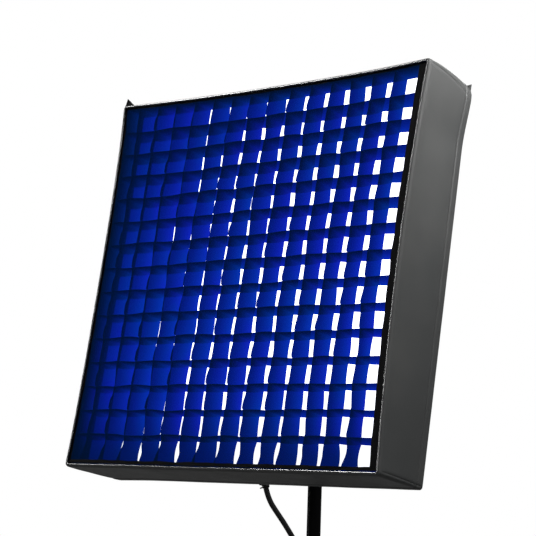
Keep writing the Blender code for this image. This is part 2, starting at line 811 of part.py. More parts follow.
def riser():
    inner = RISER_R - RISER_WALL
    low = END_FLANGE + GAP
    add_turned("riser_tube", tube(RISER_R, inner, low, RISER_TOP), black_metal(), sides=32)
    stem = inner - GAP
    plug = [(0, 0), (RISER_R, 0), (RISER_R, END_FLANGE), (stem, END_FLANGE)]
    plug += [(stem, END_FLANGE + END_STEM), (0, END_FLANGE + END_STEM)]
    add_turned("riser_end_plug", plug, black_plastic(), sides=32)
    bore = RISER_R + GAP
    bush = tube(bore + BUSH_WALL, bore, low + 0.001, low + 0.001 + BUSH_LONG)
    add_turned("slip_bush", bush, nylon(), sides=32)
    base = RISER_TOP + GAP
    neck = base + COLLAR + SPIGOT_LONG * 0.45
    top = base + COLLAR + SPIGOT_LONG
    outline = [
        (0, base - SPIGOT_PLUG),
        (stem, base - SPIGOT_PLUG),
        (stem, base),
        (RISER_R, base),
        (RISER_R, base + COLLAR),
        (SPIGOT_R, base + COLLAR),
        (SPIGOT_R, neck),
        (SPIGOT_NECK_R, neck + 0.0015),
        (SPIGOT_NECK_R, neck + SPIGOT_NECK),
        (SPIGOT_R, neck + SPIGOT_NECK + 0.0015),
        (SPIGOT_R, top - 0.0015),
        (SPIGOT_R - 0.0015, top),
        (0, top),
    ]
    add_turned("riser_spigot", outline, bright_steel(), sides=32)


# ---- head cable


def smooth_route(points, spacing):
    """Points at an even spacing on a curve through the given ones."""
    knots = [Vector(p) for p in points]
    knots = [2 * knots[0] - knots[1], *knots, 2 * knots[-1] - knots[-2]]
    fine = []
    steps = 24
    for a, b, c, d in zip(knots, knots[1:], knots[2:], knots[3:]):
        for i in range(steps):
            t = i / steps
            bend = (a * -1 + b * 3 - c * 3 + d) * t**3 + (a * 2 - b * 5 + c * 4 - d) * t**2
            fine.append((bend + (c - a) * t + b * 2) / 2)
    fine.append(knots[-2])
    length = sum((q - p).length for p, q in zip(fine, fine[1:]))
    count = max(2, round(length / spacing))
    out, run, want = [fine[0]], 0.0, length / count
    for p, q in zip(fine, fine[1:]):
        step = (q - p).length
        while run + step >= want * len(out) - 1e-9 and len(out) < count:
            out.append(p.lerp(q, (want * len(out) - run) / step))
        run += step
    return out + [fine[-1]]


def head_cable(pan):
    curve = bpy.data.curves.new("head_cable", "CURVE")
    curve.dimensions = "3D"
    curve.bevel_depth = CABLE_R
    curve.bevel_resolution = 2
    curve.use_fill_caps = True
    points = smooth_route(CABLE_ROUTE, 5 * CABLE_R)
    spline = curve.splines.new("POLY")
    spline.points.add(len(points) - 1)
    for point, co in zip(spline.points, points):
        point.co = (*co, 1)
    ob = bpy.data.objects.new("head_cable", curve)
    bpy.context.collection.objects.link(ob)
    curve.materials.append(cable_rubber())
    ob.parent = pan


def connector(pan):
    x, y = CABLE_ROUTE[-1][:2]
    bottom = -BOOT_LONG - CONNECTOR_LONG
    outline = [
        (0, 0),
        (CABLE_R + 0.0010, 0),
        (CABLE_R + 0.0022, -BOOT_LONG * 0.6),
        (CONNECTOR_R - 0.0010, -BOOT_LONG),
        (CONNECTOR_R, -BOOT_LONG - 0.0010),
        (CONNECTOR_R, bottom + RING_LONG + 0.0040),
        (RING_R - 0.0025 - GAP, bottom + RING_LONG + 0.0020),
        (RING_R - 0.0025 - GAP, bottom),
        (0, bottom),
    ]
    at = (x, y, CONNECTOR_TOP)
    add_turned("cable_connector", outline, black_plastic(), pan, at, sides=24)
    ring = tube(RING_R, RING_R - 0.0025, bottom + 0.0005, bottom + RING_LONG)
    pivot = add_empty("ring_pivot", at, pan)
    add_turned("connector_ring", ring, black_metal(), pivot, sides=24)


def cable_strap(pan):
    """Hook-and-loop strap round the riser and the cable beside it."""
    places = [p for p in CABLE_ROUTE if abs(p[2] - STRAP_HIGH) < 0.002]
    x, y = places[0][:2]
    away = math.degrees(math.atan2(y, x))
    apart = math.hypot(x, y)
    lean = math.degrees(math.asin((RISER_R - CABLE_R) / apart))

    def loop(grow):
        near = arc((0, 0), RISER_R + grow, away + 90 - lean, away + 270 + lean, 14)
        return near + arc((x, y), CABLE_R + grow, away - 90 + lean, away + 90 - lean, 8)

    bm = bmesh.new()
    rings = []
    for grow, z in ((STRAP_CLEAR, 0), (STRAP_CLEAR + STRAP_THICK, 0)):
        for end in (-STRAP_WIDE / 2, STRAP_WIDE / 2):
            height = STRAP_HIGH + end + z
            rings.append([bm.verts.new((a, b, height)) for a, b in loop(grow)])
    inner_low, inner_high, outer_low, outer_high = rings
    around = (inner_low, inner_high, outer_high, outer_low)
    for a, b in zip(around, around[1:] + around[:1]):
        for i in range(len(a)):
            j = (i + 1) % len(a)
            bm.faces.new([a[i], a[j], b[j], b[i]])
    add_object("cable_strap", mesh_from(bm, "cable_strap"), black_tape(), pan, smooth=True)


def build():
    clear_scene()
    pan = add_empty("pan_axis", (0, 0, 0))
    head = add_empty("tilt_axis", (0, -REACH, HINGE_HIGH), pan, (-TILT, 0, 0))
    softbox_walls(head)
    front_piping(head)
    front_hems(head)
    rear_flanges(head)
    pull_tab(head)
    egg_crate(head)
    diffuser(head)
    light_mat(head)
    corner_sockets(head)
    junction_box(head)
    cable_gland(head)
    hub(head)
    hub_cover(head)
    arms(head)
    yoke(head)
    tilt_bolt(head)
    tilt_lever(head)
    receiver(pan)
    lock_screw(pan)
    riser()
    head_cable(pan)
    connector(pan)
    cable_strap(pan)


build()
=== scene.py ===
"""Looks for a square softbox with an egg-crate grid, on a folding bracket and a stand's riser.

The cloth goods (shell, piping, hems, grid, diffuser, mat, cable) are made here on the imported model.
They are drawn in the head's own frame: X across, Y from the mouth to the back, Z up the softbox.
"""

import json
import math
import random

import bmesh
import bpy
import numpy as np
from mathutils import Matrix, Vector, noise


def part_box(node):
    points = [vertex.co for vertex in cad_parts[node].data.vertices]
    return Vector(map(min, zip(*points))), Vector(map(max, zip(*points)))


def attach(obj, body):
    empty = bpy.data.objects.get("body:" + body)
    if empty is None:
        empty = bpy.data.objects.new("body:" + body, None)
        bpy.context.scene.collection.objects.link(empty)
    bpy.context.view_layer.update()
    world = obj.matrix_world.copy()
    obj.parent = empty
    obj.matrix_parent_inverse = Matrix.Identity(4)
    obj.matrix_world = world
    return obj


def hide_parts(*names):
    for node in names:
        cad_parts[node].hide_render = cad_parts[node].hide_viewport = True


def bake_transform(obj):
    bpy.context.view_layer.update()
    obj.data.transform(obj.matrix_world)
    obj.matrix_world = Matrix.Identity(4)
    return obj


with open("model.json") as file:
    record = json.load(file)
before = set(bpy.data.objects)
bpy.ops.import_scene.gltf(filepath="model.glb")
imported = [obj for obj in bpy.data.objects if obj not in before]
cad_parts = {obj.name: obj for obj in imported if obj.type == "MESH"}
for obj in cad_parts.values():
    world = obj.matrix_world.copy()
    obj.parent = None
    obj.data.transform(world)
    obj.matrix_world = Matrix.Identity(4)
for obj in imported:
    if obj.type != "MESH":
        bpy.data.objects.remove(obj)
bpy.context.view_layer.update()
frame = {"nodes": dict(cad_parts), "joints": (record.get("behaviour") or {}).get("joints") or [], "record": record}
NODES = frame["nodes"]
JOINTS = {j["name"]: j for j in frame["joints"]}

# the head's frame, from the hinge and the way the grid pulls out
HINGE = Vector(JOINTS["tilt"]["pos_m"])
REARWARD = -Vector(JOINTS["grid_pull"]["axis"]).normalized()
UPWARD = Vector((1, 0, 0)).cross(REARWARD)
HEAD = Matrix((
    (1, REARWARD.x, UPWARD.x, HINGE.x),
    (0, REARWARD.y, UPWARD.y, HINGE.y),
    (0, REARWARD.z, UPWARD.z, HINGE.z),
    (0, 0, 0, 1),
))


def head_box(*names):
    """Lowest and highest corner of CAD nodes in the head's frame."""
    back = HEAD.inverted()
    points = np.array([back @ v.co for n in names for v in NODES[n].data.vertices])
    return Vector(points.min(0)), Vector(points.max(0))


PANELS = ("top_panel", "bottom_panel", "left_panel", "right_panel")
SHELL_HIGH = head_box(*PANELS)[1]
PIPING_LOW, PIPING_HIGH = head_box("front_piping")
HALF = SHELL_HIGH.x  # half the softbox's side
WALL = head_box("top_panel")[1].z - head_box("top_panel")[0].z
PIPING_R = (PIPING_HIGH.y - PIPING_LOW.y) / 2
MOUTH = PIPING_LOW.y
REAR = SHELL_HIGH.y
GRID_LOW, GRID_HIGH = head_box("egg_crate_grid")
MAT_FRONT = min(head_box("mat_core")[0].y, head_box("led_board")[0].y)
CELLS = 15
PITCH = 0.0386  # from strip to strip
GRID_SHIFT = -0.0105  # the sewn grid hangs to the left, and its right border is wider

# cloth sizes that the frame doesn't give
FRONT_CORNER_R = 0.0050
REAR_CORNER_R = {"tr": 0.026, "tl": 0.018, "bl": 0.024, "br": 0.0022}
HEM_IN = 0.015  # sewn line round the shell, in front of its rear edge
SEAM_WIDE = 0.0016
STRIP_THICK = 0.0009
DIFFUSER_GLOW = 2.4
SIDES = ((1, 0), (0, 1), (-1, 0), (0, -1))  # right, top, left and foot, as the way each one faces
SIDE_NAMES = ("top", "bottom", "left", "right")
WORLD = Matrix.Identity(4)


def wobble(x, y, z, size):
    """Smooth noise of about plus or minus one, with bumps of the given size in metres."""
    return noise.noise(Vector((x, y, z)) / size) * 1.8


def up_to_one(value):
    return min(1.0, max(0.0, value))


def ease(value):
    value = up_to_one(value)
    return value * value * (3 - 2 * value)


def bell(t):
    """Nought at both ends of a span, and one at its middle."""
    return 4 * t * (1 - t)


def round_corner(ox, oz, out, along):
    """A place on the side that faces (ox, oz): how far out from the middle, and how far along."""
    return ox * out - oz * along, oz * out + ox * along


def pulled(x, y, z):
    """Where stretched cloth at (x, z) really runs: the mouth's sides bow in between its corners.

    The bow dies out towards the stiff mat. The corners are pulled out a little, most of all the
    top right one at the back.
    """
    t, s = x / HALF, z / HALF
    right, left, top, foot = max(0.0, t), max(0.0, -t), max(0.0, s), max(0.0, -s)
    front = 1 - ease((y - MOUTH) / (MAT_FRONT - MOUTH))
    back = up_to_one((y - MOUTH) / (REAR - MOUTH))
    dx = front * (1 - s * s) * (-0.0035 - 0.0065 * t**3)
    dx -= front * left**6 * (0.0060 * top**4 + 0.0034 * foot**4)
    dz = front * top**3 * (-0.0048 * (1 - t * t) + 0.0035 * right**4)
    dx += back * right**8 * 0.0080 * ease((s - 0.66) / 0.34)
    dz += back * (0.0062 * right**10 * top**8 - 0.0026 * left**6 * foot**8)
    return x + dx, z + dz


def pulled_points(points, y_as=None):
    """Every point of an array in the head's frame, pulled. y_as is the depth to pull it as at."""
    moved = []
    for x, y, z in np.asarray(points, float).reshape(-1, 3):
        px, pz = pulled(x, y if y_as is None else y_as, z)
        moved.append((px, y, pz))
    return np.array(moved).reshape(np.shape(points))


def pushed(x, y, z, ox, oz, push):
    """A place on the cloth, pulled, and then pushed out a little along (ox, oz)."""
    x, z = pulled(x, y, z)
    return x + ox * push, y, z + oz * push


# ---- meshes

SHARP_FROM = 40  # degrees

def finish_mesh(name, verts, faces, uvs):
    mesh = bpy.data.meshes.new(name)
    mesh.from_pydata([tuple(v) for v in verts], [], faces)
    layer = mesh.uv_layers.new(name="cloth")
    layer.data.foreach_set("uv", np.asarray(uvs, np.float32).ravel())
    bm = bmesh.new()
    bm.from_mesh(mesh)
    bmesh.ops.recalc_face_normals(bm, faces=bm.faces)
    bm.to_mesh(mesh)
    bm.free()
    mesh.shade_smooth()
    mesh.set_sharp_from_angle(angle=math.radians(SHARP_FROM))
    return mesh


def sheet_arrays(points, thick, wrap=False, lean=0.5):
    """A closed thin solid on a grid of points, with its cloth's own metres as UV.

    points is (rows, columns, 3). lean is the share of the thickness on the side that rows x
    columns faces. With wrap, the last row meets the first.
    """
    p = np.asarray(points, float)
    if wrap:
        down = np.roll(p, -1, axis=0) - np.roll(p, 1, axis=0)
    else:
        down = np.gradient(p, axis=0)
    normal = np.cross(down, np.gradient(p, axis=1))
    normal /= np.maximum(np.linalg.norm(normal, axis=2, keepdims=True), 1e-12)
    face = p + normal * thick * lean
    back = p - normal * thick * (1 - lean)
    rows, cols = p.shape[:2]
    verts = np.concatenate([face.reshape(-1, 3), back.reshape(-1, 3)])
    closing = np.concatenate([p, p[:1]]) if wrap else p
    u = np.concatenate([[0], np.cumsum(np.linalg.norm(np.diff(closing, axis=0), axis=2).mean(1))])
    v = np.concatenate([[0], np.cumsum(np.linalg.norm(np.diff(p, axis=1), axis=2).mean(0))])
    faces, uvs = [], []

    def at(i, j, layer):
        return (i % rows) * cols + j + layer * rows * cols

    def quad(corners):
        faces.append([at(*c) for c in corners])
        uvs.extend((u[i], v[j]) for i, j, _ in corners)

    last = rows if wrap else rows - 1
    for i in range(last):
        for j in range(cols - 1):
            square = [(i, j), (i + 1, j), (i + 1, j + 1), (i, j + 1)]
            quad([(a, b, 0) for a, b in square])
            quad([(a, b, 1) for a, b in reversed(square)])
        for j in (0, cols - 1):
            quad([(i, j, 0), (i + 1, j, 0), (i + 1, j, 1), (i, j, 1)])
    if not wrap:
        for j in range(cols - 1):
            for i in (0, rows - 1):
                quad([(i, j, 0), (i, j + 1, 0), (i, j + 1, 1), (i, j, 1)])
    return verts, faces, uvs


def laid_out(across, up, place):
    """Rows of points from place(u, v), with u and v from nought to one."""
    return [[place(i / across, k / up) for k in range(up + 1)] for i in range(across + 1)]


def joined(parts):
    """Several (verts, faces, uvs) as one."""
    verts, faces, uvs, count = [], [], [], 0
    for v, f, t in parts:
        verts.append(np.asarray(v))
        faces += [[i + count for i in face] for face in f]
        uvs += list(t)
        count += len(v)
    return np.concatenate(verts), faces, uvs


def tube_arrays(path, r, sides=10, closed=False):
    """A round tube along points, with flat caps where it is open. r is a number or one a point."""
    p = np.asarray(path, float)
    count = len(p)
    r = np.broadcast_to(np.asarray(r, float), (count,))
    if closed:
        along = np.roll(p, -1, axis=0) - np.roll(p, 1, axis=0)
    else:
        along = np.gradient(p, axis=0)
    along /= np.linalg.norm(along, axis=1, keepdims=True)
    side = np.zeros_like(p)
    start = Vector(along[0]).orthogonal().normalized()
    for i in range(count):
        axis = Vector(along[i])
        start = (start - axis * start.dot(axis)).normalized()
        side[i] = start
    other = np.cross(along, side)
    turns = np.arange(sides) * 2 * math.pi / sides
    rings = (
        p[:, None]
        + r[:, None, None] * np.cos(turns)[None, :, None] * side[:, None]
        + r[:, None, None] * np.sin(turns)[None, :, None] * other[:, None]
    )
    long = np.concatenate([[0], np.cumsum(np.linalg.norm(np.diff(p, axis=0), axis=1))])
    faces, uvs = [], []
    around = 2 * math.pi * float(r.mean())
    for i in range(count if closed else count - 1):
        k = (i + 1) % count
        ends = long[i], long[k] if k else long[-1]
        for j in range(sides):
            n = (j + 1) % sides
            faces.append([i * sides + j, i * sides + n, k * sides + n, k * sides + j])
            a, b = around * j / sides, around * (j + 1) / sides
            uvs += [(ends[0], a), (ends[0], b), (ends[1], b), (ends[1], a)]
    verts = rings.reshape(-1, 3)
    if not closed:
        for first in (0, (count - 1) * sides):
            faces.append([first + j for j in range(sides)])
            uvs += [(0.0, 0.0)] * sides
    return verts, faces, uvs


def turned_arrays(outline, sides=32, at=(0, 0, 0), x_axis=(1, 0, 0), z_axis=(0, 0, 1)):
    """A solid turned about z_axis through at, from (radius, height) points that end on the axis."""
    z_axis, x_axis = np.array(z_axis, float), np.array(x_axis, float)
    y_axis = np.cross(z_axis, x_axis)
    turns = np.arange(sides) * 2 * math.pi / sides
    verts, rings = [], []
    for r, h in outline:
        base = np.array(at, float) + z_axis * h
        if r == 0:
            rings.append([len(verts)])
            verts.append(base)
            continue
        rings.append(list(range(len(verts), len(verts) + sides)))
        verts += [base + r * (math.cos(a) * x_axis + math.sin(a) * y_axis) for a in turns]
    faces, uvs = [], []
    for (a, b), (p, q) in zip(zip(rings, rings[1:]), zip(outline, outline[1:])):
        for i in range(sides):
            j = (i + 1) % sides
            corners = [a[i % len(a)], a[j % len(a)], b[j % len(b)], b[i % len(b)]]
            face = list(dict.fromkeys(corners))
            faces.append(face)
            uvs += [(p[0], p[1]), (p[0], p[1]), (q[0], q[1]), (q[0], q[1])][: len(face)]
    return np.array(verts), faces, uvs


def new_object(name, data):
    obj = bpy.data.objects.new(name, data)
    bpy.context.scene.collection.objects.link(obj)
    return obj


def add_piece(name, arrays, mat, body, stands_for=(), place=HEAD):
    """A new visible piece, on a body, in the head's frame unless place says another."""
    obj = new_object(name, finish_mesh(name, *arrays))
    obj.data.materials.append(mat)
    obj.matrix_world = place
    if body:
        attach(obj, body)
    if stands_for:
        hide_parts(*stands_for)
    return obj


def outline(inset, radii, side_steps=56, corner_steps=7):
    """The softbox's cross-section at a distance inside its outer size, as (x, z, out_x, out_z).

    It runs anticlockwise seen from the mouth's far side, from the top right corner's right end.
    """
    points = []
    half = HALF - inset
    for tag, sx, sz, start in (("tr", 1, 1, 0), ("tl", -1, 1, 90), ("bl", -1, -1, 180), ("br", 1, -1, 270)):
        r = max(radii[tag] - inset, 0.0006)
        centre = sx * (half - r), sz * (half - r)
        for i in range(corner_steps + 1):
            a = math.radians(start + 90 * i / corner_steps)
            out = math.cos(a), math.sin(a)
            points.append((centre[0] + r * out[0], centre[1] + r * out[1], *out))
        after = {"tr": "tl", "tl": "bl", "bl": "br", "br": "tr"}[tag]
        r_next = max(radii[after] - inset, 0.0006)
        a = math.radians(start + 90)
        out = round(math.cos(a)), round(math.sin(a))
        way = -out[1], out[0]
        begin = points[-1]
        corner = {"tl": (-1, 1), "bl": (-1, -1), "br": (1, -1), "tr": (1, 1)}[after]
        end_x = corner[0] * (half - (r_next if way[0] else 0))
        end_z = corner[1] * (half - (r_next if way[1] else 0))
        long = abs(end_x - begin[0]) + abs(end_z - begin[1])
        close = [d / long for d in (0.0007, 0.0014, 0.0022, 0.0035, 0.006)]
        evenly = [i / side_steps for i in range(1, side_steps)]
        for t in sorted(close + evenly + [1 - c for c in close]):
            x = begin[0] + (end_x - begin[0]) * t
            z = begin[1] + (end_z - begin[1]) * t
            points.append((x, z, *out))
    return points


# ---- materials


def grey(value):
    return value, value, value


def new_material(name, **values):
    """A material with one Principled shader and a coordinates node. Values are its sockets, by name."""
    mat = bpy.data.materials.new(name)
    mat.use_nodes = True
    shader = mat.node_tree.nodes["Principled BSDF"]
    for key, value in values.items():
        if isinstance(value, tuple) and len(value) == 3:
            value = (*value, 1)
        shader.inputs[key.replace("_", " ").title().replace("Ior", "IOR")].default_value = value
    return mat, mat.node_tree, shader, add_node(mat.node_tree, "ShaderNodeTexCoord")


def add_node(tree, kind, inputs=None, **settings):
    node = tree.nodes.new(kind)
    for key, value in settings.items():
        setattr(node, key, value)
    for key, value in (inputs or {}).items():
        socket = node.inputs[key]
        if isinstance(value, bpy.types.NodeSocket):
            tree.links.new(value, socket)
        else:
            socket.default_value = value
    return node


def math_node(tree, operation, a, b=None, c=None):
    values = {i: v for i, v in enumerate((a, b, c)) if v is not None}
    return add_node(tree, "ShaderNodeMath", values, operation=operation).outputs[0]


def map_range(tree, value, low, high, to_low=0.0, to_high=1.0, kind="LINEAR"):
    inputs = {0: value, 1: low, 2: high, 3: to_low, 4: to_high}
    return add_node(tree, "ShaderNodeMapRange", inputs, interpolation_type=kind).outputs[0]


def mix_colours(tree, share, none, full):
    """One colour where share is nought, and the other where it is one."""
    return add_node(tree, "ShaderNodeMix", {0: share, 6: none, 7: full}, data_type="RGBA").outputs[2]


def new_group(name, inputs, outputs):
    group = bpy.data.node_groups.new(name, "ShaderNodeTree")
    for label, kind, value in inputs:
        socket = group.interface.new_socket(label, in_out="INPUT", socket_type=kind)
        if value is not None:
            socket.default_value = value
    for label, kind in outputs:
        group.interface.new_socket(label, in_out="OUTPUT", socket_type=kind)
    return group, add_node(group, "NodeGroupInput"), add_node(group, "NodeGroupOutput")


FLOAT, VECTOR, COLOUR = "NodeSocketFloat", "NodeSocketVector", "NodeSocketColor"


def weave_group():
    """Plain weave: threads that pass over and under, as a height from nought to one."""
    group, i, o = new_group(
        "plain_weave",
        [("Cloth", VECTOR, None), ("Threads Per Metre", FLOAT, 1400.0), ("Slub", FLOAT, 0.3)],
        [("Height", FLOAT), ("Slubs", FLOAT)],
    )
    uneven = add_node(group, "ShaderNodeTexNoise", {"Vector": i.outputs[0], "Scale": 90.0})
    parts = add_node(group, "ShaderNodeSeparateXYZ", {0: i.outputs[0]})
    turns = math_node(group, "MULTIPLY", i.outputs[1], math.pi)
    warp = math_node(group, "SINE", math_node(group, "MULTIPLY", parts.outputs[0], turns))
    weft = math_node(group, "SINE", math_node(group, "MULTIPLY", parts.outputs[1], turns))
    over = math_node(group, "MULTIPLY", warp, weft)
    height = math_node(group, "MULTIPLY_ADD", over, 0.5, 0.5)
    slub = math_node(group, "MULTIPLY", uneven.outputs[0], i.outputs[2])
    group.links.new(math_node(group, "ADD", height, slub), o.inputs[0])
    group.links.new(uneven.outputs[0], o.inputs[1])
    return group


def cloud_group():
    """Slow colour change over a surface, from a darker to a lighter colour."""
    group, i, o = new_group(
        "slow_change",
        [("Vector", VECTOR, None), ("Scale", FLOAT, 8.0), ("Dark", COLOUR, None), ("Light", COLOUR, None)],
        [("Colour", COLOUR), ("Share", FLOAT)],
    )
    cloud = add_node(
        group, "ShaderNodeTexNoise", {"Vector": i.outputs[0], "Scale": i.outputs[1], "Detail": 4.0}
    )
    share = map_range(group, cloud.outputs[0], 0.35, 0.65, kind="SMOOTHSTEP")
    group.links.new(mix_colours(group, share, i.outputs[2], i.outputs[3]), o.inputs[0])
    group.links.new(share, o.inputs[1])
    return group


def wear_group():
    """Rubbed edges: a mask where the surface is convex, broken up by noise."""
    group, i, o = new_group(
        "rubbed_edges",
        [("Vector", VECTOR, None), ("Reach", FLOAT, 0.56), ("Amount", FLOAT, 0.6)],
        [("Mask", FLOAT)],
    )
    geometry = add_node(group, "ShaderNodeNewGeometry")
    top = math_node(group, "ADD", i.outputs[1], 0.05)
    edge = map_range(group, geometry.outputs["Pointiness"], i.outputs[1], top)
    specks = add_node(group, "ShaderNodeTexNoise", {"Vector": i.outputs[0], "Scale": 160.0, "Detail": 3.0})
    both = math_node(group, "MULTIPLY", edge, map_range(group, specks.outputs[0], 0.42, 0.6))
    group.links.new(math_node(group, "MULTIPLY", both, i.outputs[2]), o.inputs[0])
    return group


def grain_group():
    """Fine moulded or cast grain, as a height, with the same grain as a small change of roughness."""
    group, i, o = new_group(
        "fine_grain",
        [("Vector", VECTOR, None), ("Grains Per Metre", FLOAT, 900.0), ("Roughness", FLOAT, 0.45),
         ("Spread", FLOAT, 0.08)],
        [("Height", FLOAT), ("Roughness", FLOAT)],
    )
    grain = add_node(
        group, "ShaderNodeTexNoise", {"Vector": i.outputs[0], "Scale": i.outputs[1], "Detail": 2.0}
    )
    slow = add_node(group, "ShaderNodeTexNoise", {"Vector": i.outputs[0], "Scale": 25.0, "Detail": 3.0})
    centred = math_node(group, "SUBTRACT", slow.outputs[0], 0.5)
    spread = math_node(group, "MULTIPLY", i.outputs[3], 2.0)
    rough = math_node(group, "MULTIPLY_ADD", centred, spread, i.outputs[2])
    group.links.new(grain.outputs[0], o.inputs[0])
    group.links.new(rough, o.inputs[1])
    return group


WEAVE, CLOUD, WEAR, GRAIN = weave_group(), cloud_group(), wear_group(), grain_group()


def use_group(tree, group, inputs):
    return add_node(tree, "ShaderNodeGroup", inputs, node_tree=group)


def add_bump(tree, shader, height, strength, distance):
    bump = add_node(tree, "ShaderNodeBump", {"Height": height, "Strength": strength, "Distance": distance})
    tree.links.new(bump.outputs[0], shader.inputs["Normal"])


def add_weave(tree, shader, place, threads, strength, distance):
    weave = use_group(tree, WEAVE, {"Cloth": place.outputs["UV"], "Threads Per Metre": threads})
    add_bump(tree, shader, weave.outputs["Height"], strength, distance)


def cloth_material(name, dark, light, roughness, threads, depth, scale=9.0, **values):
    """Woven cloth: slow colour change, uneven threads and a weave bump."""
    mat, tree, shader, place = new_material(name, roughness=roughness, **values)
    change = {"Vector": place.outputs["Object"], "Scale": scale, "Dark": (*dark, 1), "Light": (*light, 1)}
    cloud = use_group(tree, CLOUD, change)
    tree.links.new(cloud.outputs["Colour"], shader.inputs["Base Color"])
    add_weave(tree, shader, place, threads, 0.6, depth)
    rough = math_node(tree, "MULTIPLY_ADD", cloud.outputs["Share"], 0.08, roughness - 0.04)
    tree.links.new(rough, shader.inputs["Roughness"])
    return mat


def hard_material(name, colour, rubbed, roughness, grains, depth, wear=0.5, **values):
    """Moulded plastic or cast metal: fine grain, slow change of roughness and rubbed edges."""
    mat, tree, shader, place = new_material(name, roughness=roughness, **values)
    at = place.outputs["Object"]
    mask = use_group(tree, WEAR, {"Vector": at, "Amount": wear})
    worn = mix_colours(tree, mask.outputs[0], (*colour, 1), (*rubbed, 1))
    tree.links.new(worn, shader.inputs["Base Color"])
    grain = use_group(tree, GRAIN, {"Vector": at, "Grains Per Metre": grains, "Roughness": roughness})
    tree.links.new(grain.outputs["Roughness"], shader.inputs["Roughness"])
    add_bump(tree, shader, grain.outputs["Height"], 0.5, depth)
    return mat


def brushed_material():
    """Bright turned steel with fine lines."""
    mat, tree, shader, place = new_material(
        "turned_steel", base_color=(0.56, 0.56, 0.57), metallic=1.0, roughness=0.26
    )
    stretched = add_node(tree, "ShaderNodeMapping", {0: place.outputs["Object"], 3: (4.0, 4.0, 260.0)})
    lines = add_node(tree, "ShaderNodeTexNoise", {"Vector": stretched.outputs[0], "Scale": 12.0, "Detail": 3.0})
    rough = math_node(tree, "MULTIPLY_ADD", lines.outputs[0], 0.2, 0.16)
    tree.links.new(rough, shader.inputs["Roughness"])
    add_bump(tree, shader, lines.outputs[0], 0.25, 0.0002)
    return mat


# painted glow: the blues of the emission that stands in for the diffuser's light on the cloth
GRID_PAINTED_GLOW_GREENER, GRID_PAINTED_GLOW_REDDER = (0.0010, 0.034, 0.29, 1), (0.0056, 0.014, 0.38, 1)  # the lit cloth's blues
# the faint painted glow at the grid's front, furthest from the diffuser
GRID_PAINTED_GLOW_LEAST = (0.0006, 0.0062, 0.018, 1)
GRID_TINT = (0.06, 0.16, 1.0, 1)
GRID_CLEAR = 0.235  # share of the light that passes straight through
# how the painted glow falls off from the diffuser towards the front
GRID_PAINTED_GLOW_FALL = 1.35
# painted shade: where the painted glow fades, along the grid's left edge, foot and top: axis, edge, end of the
# fade, glow at the edge
GRID_PAINTED_SHADE_EDGES = ((0, -0.292, -0.20, 0.66), (2, -0.290, -0.200, 0.10), (2, 0.29, -0.04, 0.76))


def grid_cloth_material():
    """Thin dark blue-black cloth that lets a little of the light through, and only the blue of it, with a painted
    blue glow that stands in for the diffuser's light on it.
    """
    mat, tree, shader, place = new_material(
        "grid_cloth", base_color=(0.0010, 0.0050, 0.036), roughness=0.8, specular_ior_level=0.0
    )
    add_weave(tree, shader, place, 1900.0, 0.4, 0.0002)
    at = place.outputs["Object"]
    painted_glow_hue = use_group(tree, CLOUD, {"Vector": at, "Scale": 9.0, "Dark": GRID_PAINTED_GLOW_GREENER, "Light": GRID_PAINTED_GLOW_REDDER})
    # painted glow: the cloth's emission stands in for the diffuser's light, brightest nearest the lit diffuser,
    # with painted shade along the grid's left edge, foot and top
    parts = add_node(tree, "ShaderNodeSeparateXYZ", {0: at})
    depth = map_range(tree, parts.outputs[1], GRID_LOW.y, GRID_HIGH.y)
    painted_glow_share = math_node(tree, "POWER", depth, GRID_PAINTED_GLOW_FALL)
    for axis, edge, inner, least in GRID_PAINTED_SHADE_EDGES:
        near = map_range(tree, parts.outputs[axis], edge, inner, least, kind="SMOOTHSTEP")
        painted_glow_share = math_node(tree, "MULTIPLY", painted_glow_share, near)
    glow = mix_colours(tree, painted_glow_share, GRID_PAINTED_GLOW_LEAST, painted_glow_hue.outputs["Colour"])
    # painted glow: emission in place of the diffuser's light on the cloth
    tree.links.new(glow, shader.inputs["Emission Color"])
    shader.inputs["Emission Strength"].default_value = 1.0
    clear = add_node(tree, "ShaderNodeBsdfTransparent", {0: GRID_TINT})
    mix = add_node(tree, "ShaderNodeMixShader", {0: GRID_CLEAR, 1: shader.outputs[0], 2: clear.outputs[0]})
    tree.links.new(mix.outputs[0], tree.nodes["Material Output"].inputs[0])
    return mat


DIFFUSER_COOL, DIFFUSER_LAVENDER = (0.97, 1.0, 0.99, 1), (0.94, 0.93, 1.0, 1)
DIFFUSER_FOOT = 0.42  # share of the glow that is left at the foot
DIFFUSER_EVEN = -0.10  # height above which the glow is even


def diffuser_material():
    """White cloth that glows evenly but for its foot, a little more lavender from place to place."""
    mat, tree, shader, place = new_material(
        "diffuser_cloth", base_color=(0.85, 0.87, 0.92), roughness=0.8, emission_strength=DIFFUSER_GLOW
    )
    at = place.outputs["Object"]
    change = {"Vector": at, "Scale": 7.0, "Dark": DIFFUSER_COOL, "Light": DIFFUSER_LAVENDER}
    cloud = use_group(tree, CLOUD, change)
    parts = add_node(tree, "ShaderNodeSeparateXYZ", {0: at})
    down = map_range(tree, parts.outputs[2], -HALF, DIFFUSER_EVEN, DIFFUSER_FOOT, kind="SMOOTHSTEP")
    fall = mix_colours(tree, down, (0, 0, 0, 1), cloud.outputs["Colour"])
    tree.links.new(fall, shader.inputs["Emission Color"])
    add_weave(tree, shader, place, 1500.0, 0.3, 0.0002)
    return mat


CHIP_PITCH = 0.0125
CHIP_COOL, CHIP_WARM = (0.85, 0.72, 0.12, 1), (0.9, 0.55, 0.15, 1)


